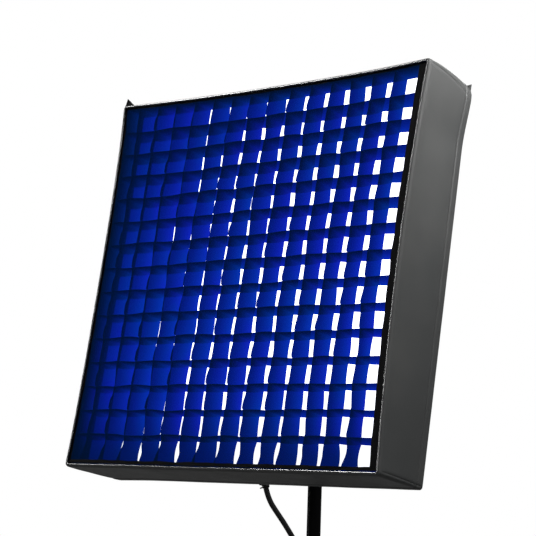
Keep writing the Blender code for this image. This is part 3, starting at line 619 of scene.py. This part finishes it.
def led_material():
    """White board with rows of small chips, warm and cool in turn."""
    mat, tree, shader, place = new_material("led_board", base_color=(0.8, 0.8, 0.74), roughness=0.5)
    parts = add_node(tree, "ShaderNodeSeparateXYZ", {0: place.outputs["Object"]})
    chips = None
    for axis in (0, 2):
        step = math_node(tree, "MULTIPLY", parts.outputs[axis], 2 * math.pi / CHIP_PITCH)
        near = math_node(tree, "GREATER_THAN", math_node(tree, "COSINE", step), 0.75)
        chips = near if chips is None else math_node(tree, "MULTIPLY", chips, near)
    turn = math_node(tree, "SINE", math_node(tree, "MULTIPLY", parts.outputs[0], math.pi / CHIP_PITCH))
    chip = mix_colours(tree, math_node(tree, "GREATER_THAN", turn, 0.0), CHIP_COOL, CHIP_WARM)
    tree.links.new(mix_colours(tree, chips, (0.8, 0.8, 0.76, 1), chip), shader.inputs["Base Color"])
    return mat


SHELL = cloth_material(
    "coated_cloth", (0.044, 0.046, 0.046), (0.052, 0.053, 0.052), 0.5, 900.0, 0.00015, scale=6.0,
    specular_ior_level=0.4,
)
PIPING = hard_material(
    "vinyl_piping", (0.0035, 0.0035, 0.004), grey(0.02), 0.20, 500.0, 0.0001, wear=0.1,
    specular_ior_level=1.0, ior=1.8,
)
TAPE = cloth_material(
    "webbing_tape", (0.0012, 0.0012, 0.0014), (0.0030, 0.0030, 0.0033), 0.8, 700.0, 0.0003,
    specular_ior_level=0.05,
)
MAT_CLOTH = cloth_material("mat_cloth", (0.022, 0.022, 0.024), (0.034, 0.034, 0.036), 0.7, 1100.0, 0.0002)
GRID_CLOTH = grid_cloth_material()
DIFFUSER = diffuser_material()
LEDS = led_material()
PLASTIC = hard_material("moulded_plastic", (0.018, 0.018, 0.019), grey(0.05), 0.46, 1400.0, 0.0002)
METAL = hard_material(
    "black_metal", (0.015, 0.015, 0.016), grey(0.055), 0.40, 1800.0, 0.00003, wear=0.3,
    specular_ior_level=0.45,
)
TUBE = hard_material(
    "painted_tube", (0.0016, 0.0016, 0.0018), grey(0.03), 0.38, 1200.0, 0.00002, wear=0.0,
    specular_ior_level=0.06,
)
STEEL = brushed_material()
THREAD = cloth_material("sewing_thread", (0.020, 0.020, 0.021), (0.05, 0.05, 0.052), 0.6, 4000.0, 0.0001)
NYLON = hard_material("nylon", (0.05, 0.05, 0.055), grey(0.08), 0.5, 900.0, 0.0001, wear=0.2)
RUBBER = hard_material("cable_rubber", grey(0.0045), grey(0.012), 0.5, 700.0, 0.0001, wear=0.2)

SLOT_LOOKS = {
    "shell_cloth": SHELL,
    "black_tape": TAPE,
    "grid_cloth": GRID_CLOTH,
    "white_cloth": DIFFUSER,
    "led_sheet": LEDS,
    "mat_cloth": MAT_CLOTH,
    "black_plastic": PLASTIC,
    "black_metal": METAL,
    "bright_steel": STEEL,
    "nylon": NYLON,
    "cable_rubber": RUBBER,
}


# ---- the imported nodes


def soft_edges_group():
    """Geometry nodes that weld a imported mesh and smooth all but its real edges."""
    group = bpy.data.node_groups.new("smooth_round_faces", "GeometryNodeTree")
    group.interface.new_socket("Geometry", in_out="INPUT", socket_type="NodeSocketGeometry")
    group.interface.new_socket("Geometry", in_out="OUTPUT", socket_type="NodeSocketGeometry")
    start, end = add_node(group, "NodeGroupInput"), add_node(group, "NodeGroupOutput")
    weld = add_node(group, "GeometryNodeMergeByDistance", {"Geometry": start.outputs[0], "Distance": 1e-5})
    angle = add_node(group, "GeometryNodeInputMeshEdgeAngle")
    round_face = add_node(
        group, "FunctionNodeCompare", {0: angle.outputs[0], 1: math.radians(38)}, operation="LESS_THAN"
    )
    faces = add_node(group, "GeometryNodeSetShadeSmooth", {"Geometry": weld.outputs[0]}, domain="FACE")
    edges = add_node(
        group,
        "GeometryNodeSetShadeSmooth",
        {"Geometry": faces.outputs[0], "Shade Smooth": round_face.outputs[0]},
        domain="EDGE",
    )
    group.links.new(edges.outputs[0], end.inputs[0])
    return group


def dress_nodes():
    group = soft_edges_group()
    looks = {s["node"]: SLOT_LOOKS[s["material_slot"]] for s in frame["record"]["subparts"]}
    for name, obj in NODES.items():
        obj.data.materials.clear()
        obj.data.materials.append(TUBE if name == "riser_tube" else looks[name])
        mod = obj.modifiers.new("round faces", "NODES")
        mod.node_group = group


# ---- shell

MOUTH_RADII = dict.fromkeys(REAR_CORNER_R, FRONT_CORNER_R)


def blended_radii(share):
    """Corner radii of the shell, from its mouth to its back."""
    return {t: FRONT_CORNER_R + (r - FRONT_CORNER_R) * share**2.2 for t, r in REAR_CORNER_R.items()}


def shell_relief(x, y, z, corner):
    """How far the cloth stands out of its flat panels: creases, the sewn line and the corner seams."""
    back = REAR - y
    creases = 0.55 * wobble(x, y, z, 0.075) + 0.35 * wobble(z, x, y, 0.028)
    held = min(1.0, (y - MOUTH) / 0.02) * up_to_one(back / 0.01)
    relief = 0.0007 * creases * held
    relief -= 0.0012 * math.exp(-(((back - HEM_IN) / 0.0011) ** 2))
    relief += 0.0007 / (1 + math.exp((back - HEM_IN) / 0.0008))
    relief -= 0.0011 * math.exp(-((corner / SEAM_WIDE) ** 2)) * held
    return relief


def shell_rows():
    """Places along the depth, as (y, inset), round the rear edge."""
    start = MOUTH + 2 * PIPING_R
    rows = [(start - 0.0008, 0.0016), (start, 0.0006), (start + 0.0015, 0.0)]
    steps = 26
    flat = [start + 0.0015 + (REAR - 0.004 - start - 0.0015) * i / steps for i in range(1, steps + 1)]
    flat += [REAR - HEM_IN + d for d in (-0.0022, -0.0013, -0.0006, 0.0, 0.0006, 0.0013, 0.0022)]
    rows += [(y, 0.0) for y in sorted(flat)]
    for i in range(1, 6):
        a = math.radians(90 * i / 5)
        rows.append((REAR - 0.0040 + 0.0030 * math.sin(a), 0.0030 * (1 - math.cos(a))))
    return rows


def shell():
    rows = shell_rows()
    columns = []
    for y, inset in rows:
        radii = blended_radii(up_to_one((y - MOUTH) / (REAR - MOUTH)))
        ring = []
        for x, z, ox, oz in outline(inset, radii):
            side_x = abs(ox) > abs(oz)
            r = radii[("t" if z > 0 else "b") + ("r" if x > 0 else "l")]
            along = HALF - r - (abs(z) if side_x else abs(x))
            from_corner = abs(along) if side_x else 1.0
            ring.append(pushed(x, y, z, ox, oz, shell_relief(x, y, z, from_corner)))
        columns.append(ring)
    points = np.array(columns).transpose(1, 0, 2)
    arrays = sheet_arrays(points, WALL - 0.0006, wrap=True, lean=0.0)
    return add_piece("shell", arrays, SHELL, "head", PANELS)


def mouth_line(inset, y, wave, seed):
    """A closed line round the mouth, with a slight wave in it."""
    points = []
    for x, z, ox, oz in outline(inset, MOUTH_RADII, side_steps=110):
        push = wave * wobble(x, seed, z, 0.022) + 0.6 * wave * wobble(x, seed + 5, z, 0.009)
        x, z = pulled(x, MOUTH, z)
        points.append((x + ox * push, y + wave * 0.8 * wobble(z, seed + 9, x, 0.030), z + oz * push))
    return points


def piping():
    """Glossy bead sewn round the mouth."""
    line = mouth_line(PIPING_R + 0.0002, MOUTH + PIPING_R, 0.00022, 1.0)
    bead = tube_arrays(line, PIPING_R - 0.0002, 10, True)
    return add_piece("piping", bead, PIPING, "head", ("front_piping",))


def mouth_hem():
    """Loop tape sewn inside the mouth, turned over behind the piping."""
    nodes = ["front_hem_" + side for side in SIDE_NAMES]
    low, high = head_box(*nodes)
    inset = HALF - high.x
    turn = [(low.y + 0.0002, inset + 0.0006), (low.y + 0.0035, inset + 0.0011)]
    rows = turn + [(low.y + (high.y - low.y) * i / 6, inset + 0.0011) for i in range(1, 7)]
    rings = []
    for y, edge in rows:
        ring = []
        for x, z, ox, oz in outline(edge, MOUTH_RADII):
            ring.append(pushed(x, y, z, ox, oz, 0.00025 * wobble(x, y, z, 0.03)))
        rings.append(ring)
    points = np.array(rings).transpose(1, 0, 2)
    return add_piece("mouth_hem", sheet_arrays(points, 0.0014, wrap=True), TAPE, "head", nodes)


# ---- egg-crate grid


def grid_places(rng):
    """Where the strips cross, at the front and at the back, as [side][column][row] = (x, z)."""
    edge = GRID_HIGH.x - STRIP_THICK
    places = []
    for back, slack in ((0, 0.0022), (1, 0.0013)):
        side = []
        for i in range(CELLS + 1):
            column = []
            for k in range(CELLS + 1):
                inside = 0 < i < CELLS
                x = GRID_SHIFT + (i - CELLS / 2) * PITCH if inside else math.copysign(edge, i - 1)
                if inside:
                    x -= 0.0028 * max(0.0, (i - 10) / 4) if back else 0.0060 * max(0.0, 1 - i / 9) ** 1.2
                z = (k - CELLS / 2) * PITCH + 0.001 if 0 < k < CELLS else math.copysign(edge, k - 1)
                if inside:
                    x += rng.uniform(-1, 1) * slack
                if 0 < k < CELLS:
                    z += rng.uniform(-1, 1) * slack * (0.7 if inside else 0.2)
                    z -= back * (0.0010 + 0.0016 * k / CELLS)
                column.append((x, z))
            side.append(column)
        places.append(side)
    return places


def drift(t, reach):
    """Nought at a crossing and out to one below it, over reach of a cell, and back at the next one."""
    return ease((t - 0.30) / reach) * up_to_one((1 - t) / 0.07)


def strip(edge, steps, sink=0.0, deep=5):
    """One strip, from edge(cell, t, side), its front (0) or back (1) edge as (x, z)."""
    rows = []
    for cell in range(CELLS):
        for i in range(steps + (cell == CELLS - 1)):
            t = i / steps
            (x, z), (back_x, back_z) = edge(cell, t, 0), edge(cell, t, 1)
            row = []
            for d in range(deep + 1):
                back = d / deep
                y = GRID_LOW.y + (GRID_HIGH.y - GRID_LOW.y) * back
                drop = sink * math.sin(math.pi * back) * bell(t)
                row.append((x + (back_x - x) * back, y, z + (back_z - z) * back - drop))
            rows.append(row)
    return sheet_arrays(pulled_points(rows, MOUTH), STRIP_THICK)


def strip_across(k, places, rng):
    """One level strip, which sags between the upright ones, more at the back than at the front."""
    high = 0.0008 + 0.0010 * k / CELLS
    sag = [
        [rng.uniform(-0.0012, 0.0008) for _ in range(CELLS)],
        [high * rng.uniform(0.6, 1.4) for _ in range(CELLS)],
    ]
    if k in (0, CELLS):
        sag = [[0.0] * CELLS, [0.0] * CELLS]

    def edge(i, t, side):
        a, b = places[side][i][k], places[side][i + 1][k]
        return a[0] + (b[0] - a[0]) * t, a[1] + (b[1] - a[1]) * t - sag[side][i] * bell(t)

    return strip(edge, 10, sink=0.0005)


def strip_upright(i, places, rng):
    """One upright strip, whose front edge drifts to one side low in each cell."""
    outer = i in (0, CELLS)
    lean = [rng.uniform(-0.0012, 0.0046 - 0.0024 * i / CELLS) for _ in range(CELLS)]
    bow = [rng.uniform(-0.0014, 0.0014) for _ in range(CELLS)]
    # the lowest row is crumpled, and its windows narrow towards the foot
    lean[0] = rng.uniform(-0.004, 0.007)
    bow[0] = rng.uniform(-0.005, 0.005)
    pinch = 0.0 if outer else 0.0025 + 0.0045 * (1 + wobble(i, 3, 0, 2.0)) / 2
    reach = 0.25 + 0.40 * i / CELLS
    if outer:
        lean, bow = [0.0] * CELLS, [0.0] * CELLS

    def edge(k, t, side):
        a, b = places[side][i][k], places[side][i][k + 1]
        x = a[0] + (b[0] - a[0]) * t
        if side == 0:
            x -= lean[k] * drift(1 - t, reach)
            x -= pinch * ease(1 - 2.2 * t) if k == 0 else 0
        x += bow[k] * bell(t) * (1 if side else -0.5)
        return x, a[1] + (b[1] - a[1]) * t

    return strip(edge, 12)


def grid():
    rng = random.Random(11)
    places = grid_places(rng)
    strips = [strip_across(k, places, rng) for k in range(CELLS + 1)]
    strips += [strip_upright(i, places, rng) for i in range(CELLS + 1)]
    return add_piece("grid_strips", joined(strips), GRID_CLOTH, "grid", ("egg_crate_grid",))


BORDER_WIDE = (0.0112, 0.0010, 0.0016, 0.0052)  # right, top, left and foot


def grid_border():
    """Folded tape round the grid's front edge, wider on the right and at the foot."""
    half = GRID_HIGH.x
    y = GRID_LOW.y - 0.0006
    rings = []
    steps = 90
    for n, (ox, oz) in enumerate(SIDES):
        before, after = BORDER_WIDE[n - 1], BORDER_WIDE[(n + 1) % 4]
        for i in range(steps):
            along = (-1 + 2 * i / steps) * half
            edge = BORDER_WIDE[n] + 0.0009 * wobble(along, n * 3.0, 0, 0.03)
            row = []
            for c in range(3):
                reach = max(-half + before * c / 2, min(half - after * c / 2, along))
                x, z = round_corner(ox, oz, half - edge * c / 2, reach)
                row.append((x, y + 0.0005 * wobble(along, n * 7.0, c, 0.03), z))
            rings.append(row)
    rings = pulled_points(rings, MOUTH)
    return add_piece("grid_border", sheet_arrays(rings, 0.0010, wrap=True), TAPE, "grid")


# ---- diffuser and mat


def flat_sheet(low, high, y, steps, height):
    """Points of a sheet that faces the mouth, with a height above it at each (x, z)."""

    def place(u, v):
        x, z = low.x + (high.x - low.x) * u, low.z + (high.z - low.z) * v
        return x, y + height(x, z), z

    return laid_out(steps, steps, place)


def diffuser():
    low, high = head_box("diffuser")
    middle = (low.y + high.y) / 2

    def billow(x, z):
        free = bell((x - low.x) / (high.x - low.x)) * bell((z - low.z) / (high.z - low.z))
        return 0.0016 * free * (1 + 0.4 * wobble(x, 0, z, 0.12))

    points = pulled_points(flat_sheet(low, high, middle, 40, billow))
    arrays = sheet_arrays(points, 0.0006)
    piece = add_piece("diffuser_cloth", arrays, DIFFUSER, "head", ("diffuser",))
    return piece


def mat_cover():
    """The mat's back cloth, with a sewn line inside its edge and slow waves."""
    low, high = head_box("mat_back")
    half = high.x

    def waves(x, z):
        edge = half - max(abs(x), abs(z))
        sewn = 0.0004 * math.exp(-(((edge - 0.034) / 0.0016) ** 2))
        return 0.0001 + 0.00022 * wobble(x, 3, z, 0.05) - sewn

    points = flat_sheet(low, high, (low.y + high.y) / 2 - 0.0002, 150, waves)
    piece = add_piece("mat_cover", sheet_arrays(points, 0.0005), MAT_CLOTH, "head", ("mat_back",))
    return piece


def rear_flange():
    """Cloth turned in behind the mat, cut out round the four corner sockets."""
    nodes = ["flange_" + side for side in SIDE_NAMES]
    low, high = head_box(*nodes)
    socket_low, socket_high = head_box("corner_socket_tr")
    half = high.x
    wide = half - head_box("flange_right")[0].x
    cut = socket_low.x - 0.0010
    narrow = half - socket_high.x - 0.0010
    rows = []
    steps = 120
    for n, (ox, oz) in enumerate(SIDES):
        places = [-half + 2 * half * i / steps for i in range(steps)]
        places += [-cut - 0.0004, -cut, cut, cut + 0.0004]
        for along in sorted(places):
            reach_in = wide + 0.0007 * math.sin(along / 0.0032) if abs(along) < cut + 0.0002 else narrow
            row = []
            for c in range(5):
                limit = half - narrow * c / 4
                reach = max(-limit, min(limit, along))
                pucker = 0.0004 * math.sin(along / 0.0040 + n) * (c / 4) ** 2
                x, z = round_corner(ox, oz, half - reach_in * c / 4, reach)
                px, pz = pulled(x, REAR, z)
                keep = 1 - c / 4
                x, z = x + (px - x) * keep, z + (pz - z) * keep
                row.append((x, (low.y + high.y) / 2 + 0.0004 + pucker * 0.5, z))
            rows.append(row)
    return add_piece("rear_flange", sheet_arrays(rows, 0.0009, wrap=True), SHELL, "head", nodes)


def corner_patches():
    """Webbing squares sewn on the mat's back under the four corner sockets."""
    y = head_box("mat_back")[1].y - 0.00005
    low, high = head_box("corner_socket_tr")
    middle, half = (low.x + high.x) / 2 - 0.012, 0.02325
    patches = []
    for sx, sz in ((1, 1), (-1, 1), (-1, -1), (1, -1)):

        def place(u, v):
            u, v = 2 * u - 1, 2 * v - 1
            sewn = 0.00025 * math.exp(-(((0.88 - max(abs(u), abs(v))) / 0.05) ** 2))
            keep = 1 - max(0.0, abs(u) + abs(v) - 1.75) / 2  # the corners are cut off
            x, z = sx * (middle + half * u * keep), sz * (middle + half * v * keep)
            return x, y - sewn + 0.0001 * wobble(x, 2, z, 0.02), z

        patches.append(sheet_arrays(laid_out(22, 22, place), 0.0007))
    return add_piece("corner_patches", joined(patches), TAPE, "head")


def stitch(middle, along, out, long=0.0024, thick=0.00045):
    """One stitch: a short pinched thread, lying along a direction."""
    middle, along, out = (np.array(v, float) for v in (middle, along, out))
    lift = out * thick * 1.3
    path = [middle + along * long * (t - 0.5) + lift * (bell(t) - 0.3) for t in (0, 0.2, 0.5, 0.8, 1)]
    return tube_arrays(path, [0.4 * thick, 0.9 * thick, thick, 0.9 * thick, 0.4 * thick], 5)


def back_stitches():
    """Thread along the flange's inner edge."""
    low, high = head_box("flange_top")
    line, span, step = low.z + 0.0035, high.x - 0.004, 0.0052
    made = []
    for ox, oz in SIDES:
        for i in range(int(2 * span / step) + 1):
            x, z = round_corner(ox, oz, line, -span + i * step)
            made.append(stitch((x, high.y + 0.0011, z), (-oz, 0, ox), (0, 1, 0)))
    return add_piece("flange_stitches", joined(made), THREAD, "head")


def screw_head(at, r):
    """A low round screw head with a round socket, facing the back."""
    rim = [(0, 0), (r, 0), (r, 0.45 * r), (0.9 * r, 0.62 * r), (0.62 * r, 0.68 * r)]
    socket = [(0.5 * r, 0.66 * r), (0.5 * r, 0.2 * r), (0, 0.16 * r)]
    return turned_arrays(rim + socket, 24, at, (1, 0, 0), (0, 1, 0))


def box_screws():
    """Screws that hold the junction box's lid."""
    low, high = head_box("junction_box")
    inset, r = 0.0065, 0.0021
    heads = [
        screw_head((x, high.y - 0.0006, z), r)
        for x in (low.x + inset, high.x - inset)
        for z in (low.z + inset, high.z - inset)
    ]
    return add_piece("box_screws", joined(heads), STEEL, "head")


def box_lid():
    """The raised lid of the junction box."""
    low, high = head_box("junction_box")
    middle, half = (low + high) / 2, (high - low) / 2
    inset, tall = 0.0030, 0.0010

    def place(u, v):
        u, v = 2 * u - 1, 2 * v - 1
        edge = min(1 - abs(u), (1 - abs(v)) * 0.45)
        y = high.y - 0.0004 + tall * ease(edge / 0.06)
        return middle.x + u * (half.x - inset), y, middle.z + v * (half.z - inset)

    return add_piece("box_lid", sheet_arrays(laid_out(30, 12, place), 0.0010), PLASTIC, "head")


def pull_tab():
    """Folded cloth tab at the top left corner of the mouth."""
    low, high = head_box("pull_tab")
    peak = 0.16

    def place(t, v):
        x = low.x - 0.0060 + (high.x - low.x + 0.0030) * t
        top = t / peak if t < peak else (1 - t) / (1 - peak)
        z = low.z - 0.0010 + (high.z + 0.0035 - low.z) * max(top, 0.04) * v
        return x, (low.y + high.y) / 2 + 0.0012 * wobble(x, 0, z, 0.008) * v, z

    points = laid_out(12, 5, place)
    return add_piece("corner_tab", sheet_arrays(points, 0.0011), TAPE, "head", ("pull_tab",))


# ---- head cable

CABLE_R = 0.0042
TIE_KNOT = 5  # the tie sits just below this point of the route
CABLE_ROUTE = [
    (-0.0350, -0.1120, 0.4242),
    (-0.0350, -0.1145, 0.4094),
    (-0.0351, -0.1130, 0.3800),
    (-0.0352, -0.1055, 0.3420),
    (-0.0352, -0.0935, 0.3060),
    (-0.0348, -0.0805, 0.2730),
    (-0.0335, -0.0750, 0.2570),
    (-0.0306, -0.0690, 0.2435),
    (-0.0262, -0.0600, 0.2300),
    (-0.0212, -0.0470, 0.2130),
    (-0.0180, -0.0330, 0.1955),
    (-0.0168, -0.0185, 0.1790),
    (-0.0161, -0.0065, 0.1640),
    (-0.0158, -0.0018, 0.1520),
    (-0.0158, -0.0010, 0.1400),
    (-0.0159, -0.0008, 0.1290),
    (-0.0175, -0.0004, 0.1170),
    (-0.0208, 0.0000, 0.1080),
    (-0.0229, 0.0000, 0.0990),
    (-0.0230, 0.0000, 0.0920),
]


def smooth_route(points, steps=9):
    """A smooth curve through the points."""
    knots = [Vector(p) for p in points]
    knots = [2 * knots[0] - knots[1], *knots, 2 * knots[-1] - knots[-2]]
    fine = []
    for a, b, c, d in zip(knots, knots[1:], knots[2:], knots[3:]):
        for i in range(steps):
            t = i / steps
            bend = (a * -1 + b * 3 - c * 3 + d) * t**3 + (a * 2 - b * 5 + c * 4 - d) * t**2
            fine.append((bend + (c - a) * t + b * 2) / 2)
    fine.append(knots[-2])
    return fine


def head_cable():
    path = [tuple(p) for p in smooth_route(CABLE_ROUTE)]
    long = sum((Vector(b) - Vector(a)).length for a, b in zip(path, path[1:]))
    piece = add_piece(
        "head_cable_run", tube_arrays(path, CABLE_R, 16), RUBBER, None, ("head_cable",), WORLD
    )
    bend = {"start": CABLE_ROUTE[1], "end": CABLE_ROUTE[12]}
    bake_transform(piece)
    tie, strap = cable_tie(**bend), cable_strap()


def cable_strap():
    """Hook-and-loop strap wound round the riser and the cable, its free end lapped over."""
    low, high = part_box("cable_strap")
    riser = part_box("riser_tube")
    tube = (riser[1].x - riser[0].x) / 2
    middle = (low.z + high.z) / 2
    beside = min(CABLE_ROUTE, key=lambda p: abs(p[2] - middle))
    thick, clear = 0.0013, 0.0008
    away = Vector((beside[0], beside[1], 0))

    def reach(angle, grow):
        way = Vector((math.cos(angle), math.sin(angle), 0))
        near = tube + clear + grow
        far = away.dot(way) + CABLE_R + clear + grow
        return near * way if near >= far else away + (CABLE_R + clear + grow) * way

    rows, turns, fine = [], 1.34, 110
    for i in range(fine + 1):
        t = turns * i / fine
        grow = thick * (0.55 + 1.05 * ease((t - 0.97) / 0.07))
        point = reach(2 * math.pi * (t + 0.33), grow)
        end = 1 - 0.45 * ease((i - fine + 2) / 2)
        row = []
        for k in range(9):
            side = (-1 + k / 4) * (high.z - low.z) / 2 * end
            lift = 0.00025 * wobble(point.x, point.y, side * 2, 0.006)
            row.append((point.x * (1 + 20 * lift), point.y * (1 + 20 * lift), middle + side))
        rows.append(row)
    return add_piece(
        "strap_band", sheet_arrays(rows, thick * 0.9), TAPE, "receiver", ("cable_strap",), WORLD
    )


def cable_tie(start, end):
    """A small tie bound round the cable below the box, with two cut ends that stick out."""
    knots = [Vector(p) for p in CABLE_ROUTE]
    middle = knots[TIE_KNOT] * 0.80 + knots[TIE_KNOT + 1] * 0.20
    along = (knots[TIE_KNOT + 1] - knots[TIE_KNOT]).normalized()
    out = Vector((-1, 0, 0))
    out = (out - out.dot(along) * along).normalized()
    across = along.cross(out)
    parts = []
    for shift, tilt in ((-0.0016, 0.10), (0.0016, -0.10)):
        ring = []
        for i in range(24):
            a = 2 * math.pi * i / 24
            way = math.cos(a) * out + math.sin(a) * across
            ring.append(middle + (CABLE_R + 0.0006) * way + along * (shift + tilt * 0.004 * math.cos(a)))
        parts.append(tube_arrays(ring, 0.0010, 8, True))
        foot = middle + out * (CABLE_R + 0.0004) + along * shift
        tail = [foot + out * r + along * (shift * 0.5 * r / 0.004) for r in (0, 0.0024, 0.0050, 0.0074)]
        parts.append(tube_arrays(tail, [0.0012, 0.0012, 0.0011, 0.0010], 8))
    knob = [middle - out * (CABLE_R + 0.0002 + r) + along * (-0.35 * r) for r in (0, 0.0010, 0.0022, 0.0030)]
    parts.append(tube_arrays(knob, [0.0020, 0.0021, 0.0017, 0.0007], 12))
    piece = add_piece("cable_tie", joined(parts), RUBBER, None, (), WORLD)
    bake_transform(piece)
    return piece


# ---- stage, light and camera


def stage():
    """A pale floor that fades to white far out, and gives the object little light back."""
    steps, radius = 96, 3.4
    mat, tree, shader, place = new_material("floor", base_color=grey(0.80), roughness=0.9)
    far = add_node(tree, "ShaderNodeVectorMath", {0: place.outputs["Object"]}, operation="LENGTH")
    fade = map_range(tree, far.outputs["Value"], 0.7, 2.6, kind="SMOOTHSTEP")
    white = add_node(tree, "ShaderNodeEmission", {0: (1, 1, 1, 1), 1: 1.0})
    seen = add_node(tree, "ShaderNodeMixShader", {0: fade, 1: shader.outputs[0], 2: white.outputs[0]})
    dim = add_node(tree, "ShaderNodeBsdfDiffuse", {0: (0.11, 0.11, 0.11, 1)})
    path = add_node(tree, "ShaderNodeLightPath")
    mix = add_node(tree, "ShaderNodeMixShader", {0: path.outputs[0], 1: dim.outputs[0], 2: seen.outputs[0]})
    tree.links.new(mix.outputs[0], tree.nodes["Material Output"].inputs[0])
    disc = [(radius * math.cos(a), radius * math.sin(a), 0.0) for a in np.arange(steps) * 2 * math.pi / steps]
    mesh = bpy.data.meshes.new("floor")
    mesh.from_pydata(disc, [], [list(range(steps))])
    floor = new_object("floor", mesh)
    floor.location.z = -0.0005
    mesh.materials.append(mat)


def surround():
    """White to the camera, and dimmer from below to the object."""
    world = bpy.data.worlds.new("surround")
    bpy.context.scene.world = world
    world.use_nodes = True
    tree = world.node_tree
    tree.nodes.clear()
    place = add_node(tree, "ShaderNodeTexCoord")
    parts = add_node(tree, "ShaderNodeSeparateXYZ", {0: place.outputs["Generated"]})
    ramp = map_range(tree, parts.outputs[2], -0.1, 0.9, 0.045, 0.45)
    path = add_node(tree, "ShaderNodeLightPath")
    seen = add_node(tree, "ShaderNodeMix", {0: path.outputs["Is Camera Ray"], 2: ramp, 3: 1.0})
    glow = add_node(tree, "ShaderNodeBackground", {0: (1, 1, 1, 1), 1: seen.outputs[0]})
    out = add_node(tree, "ShaderNodeOutputWorld")
    tree.links.new(glow.outputs[0], out.inputs[0])


def add_lamp(name, place, target, wide, high, power):
    lamp = bpy.data.lights.new(name, "AREA")
    lamp.shape = "RECTANGLE"
    lamp.size, lamp.size_y, lamp.energy = wide, high, power
    obj = new_object(name, lamp)
    obj.location = place
    obj.rotation_euler = (Vector(target) - Vector(place)).to_track_quat("-Z", "Y").to_euler()
    obj.visible_camera = False


# name: place, target, width, height, power
LAMPS = {
    "key": ((0.78, 0.02, 1.22), (0.30, -0.05, 0.78), 0.40, 0.40, 11),
    "top_left": ((-1.2, -0.7, 2.3), (0, -0.2, 0.7), 1.5, 0.22, 36),
    "left_upright": ((-2.0, -0.9, 1.1), (-0.3, -0.2, 0.6), 0.14, 1.8, 20),
    "back_fill": ((-1.3, 2.4, 1.9), (0, 0, 0.5), 1.3, 1.0, 48),
    "front_upright": ((0.9, -2.6, 1.6), (0.3, -0.1, 0.6), 0.12, 1.6, 14),
}
LENS, SENSOR = 116.4, 36.0  # mm
EYE = (1.676, -2.1612, 0.2819)
AHEAD, UP = (-0.63238, 0.76525, 0.12035), (0.05092, -0.11396, 0.99218)


def camera():
    cam = bpy.data.cameras.new("camera")
    cam.sensor_width, cam.lens, cam.clip_start = SENSOR, LENS, 0.05
    obj = new_object("camera", cam)
    ahead = Vector(AHEAD).normalized()
    right = ahead.cross(Vector(UP)).normalized()
    turn = Matrix((right, right.cross(ahead), -ahead)).transposed()
    obj.matrix_world = Matrix.Translation(EYE) @ turn.to_4x4()
    bpy.context.scene.camera = obj


dress_nodes()
camera()
head_cable()
shell()
piping()
mouth_hem()
grid()
grid_border()
diffuser()
mat_cover()
rear_flange()
corner_patches()
back_stitches()
box_screws()
box_lid()
pull_tab()
stage()
surround()
for lamp_name, lamp in LAMPS.items():
    add_lamp(lamp_name, *lamp)
bpy.context.scene.view_settings.view_transform = "Standard"
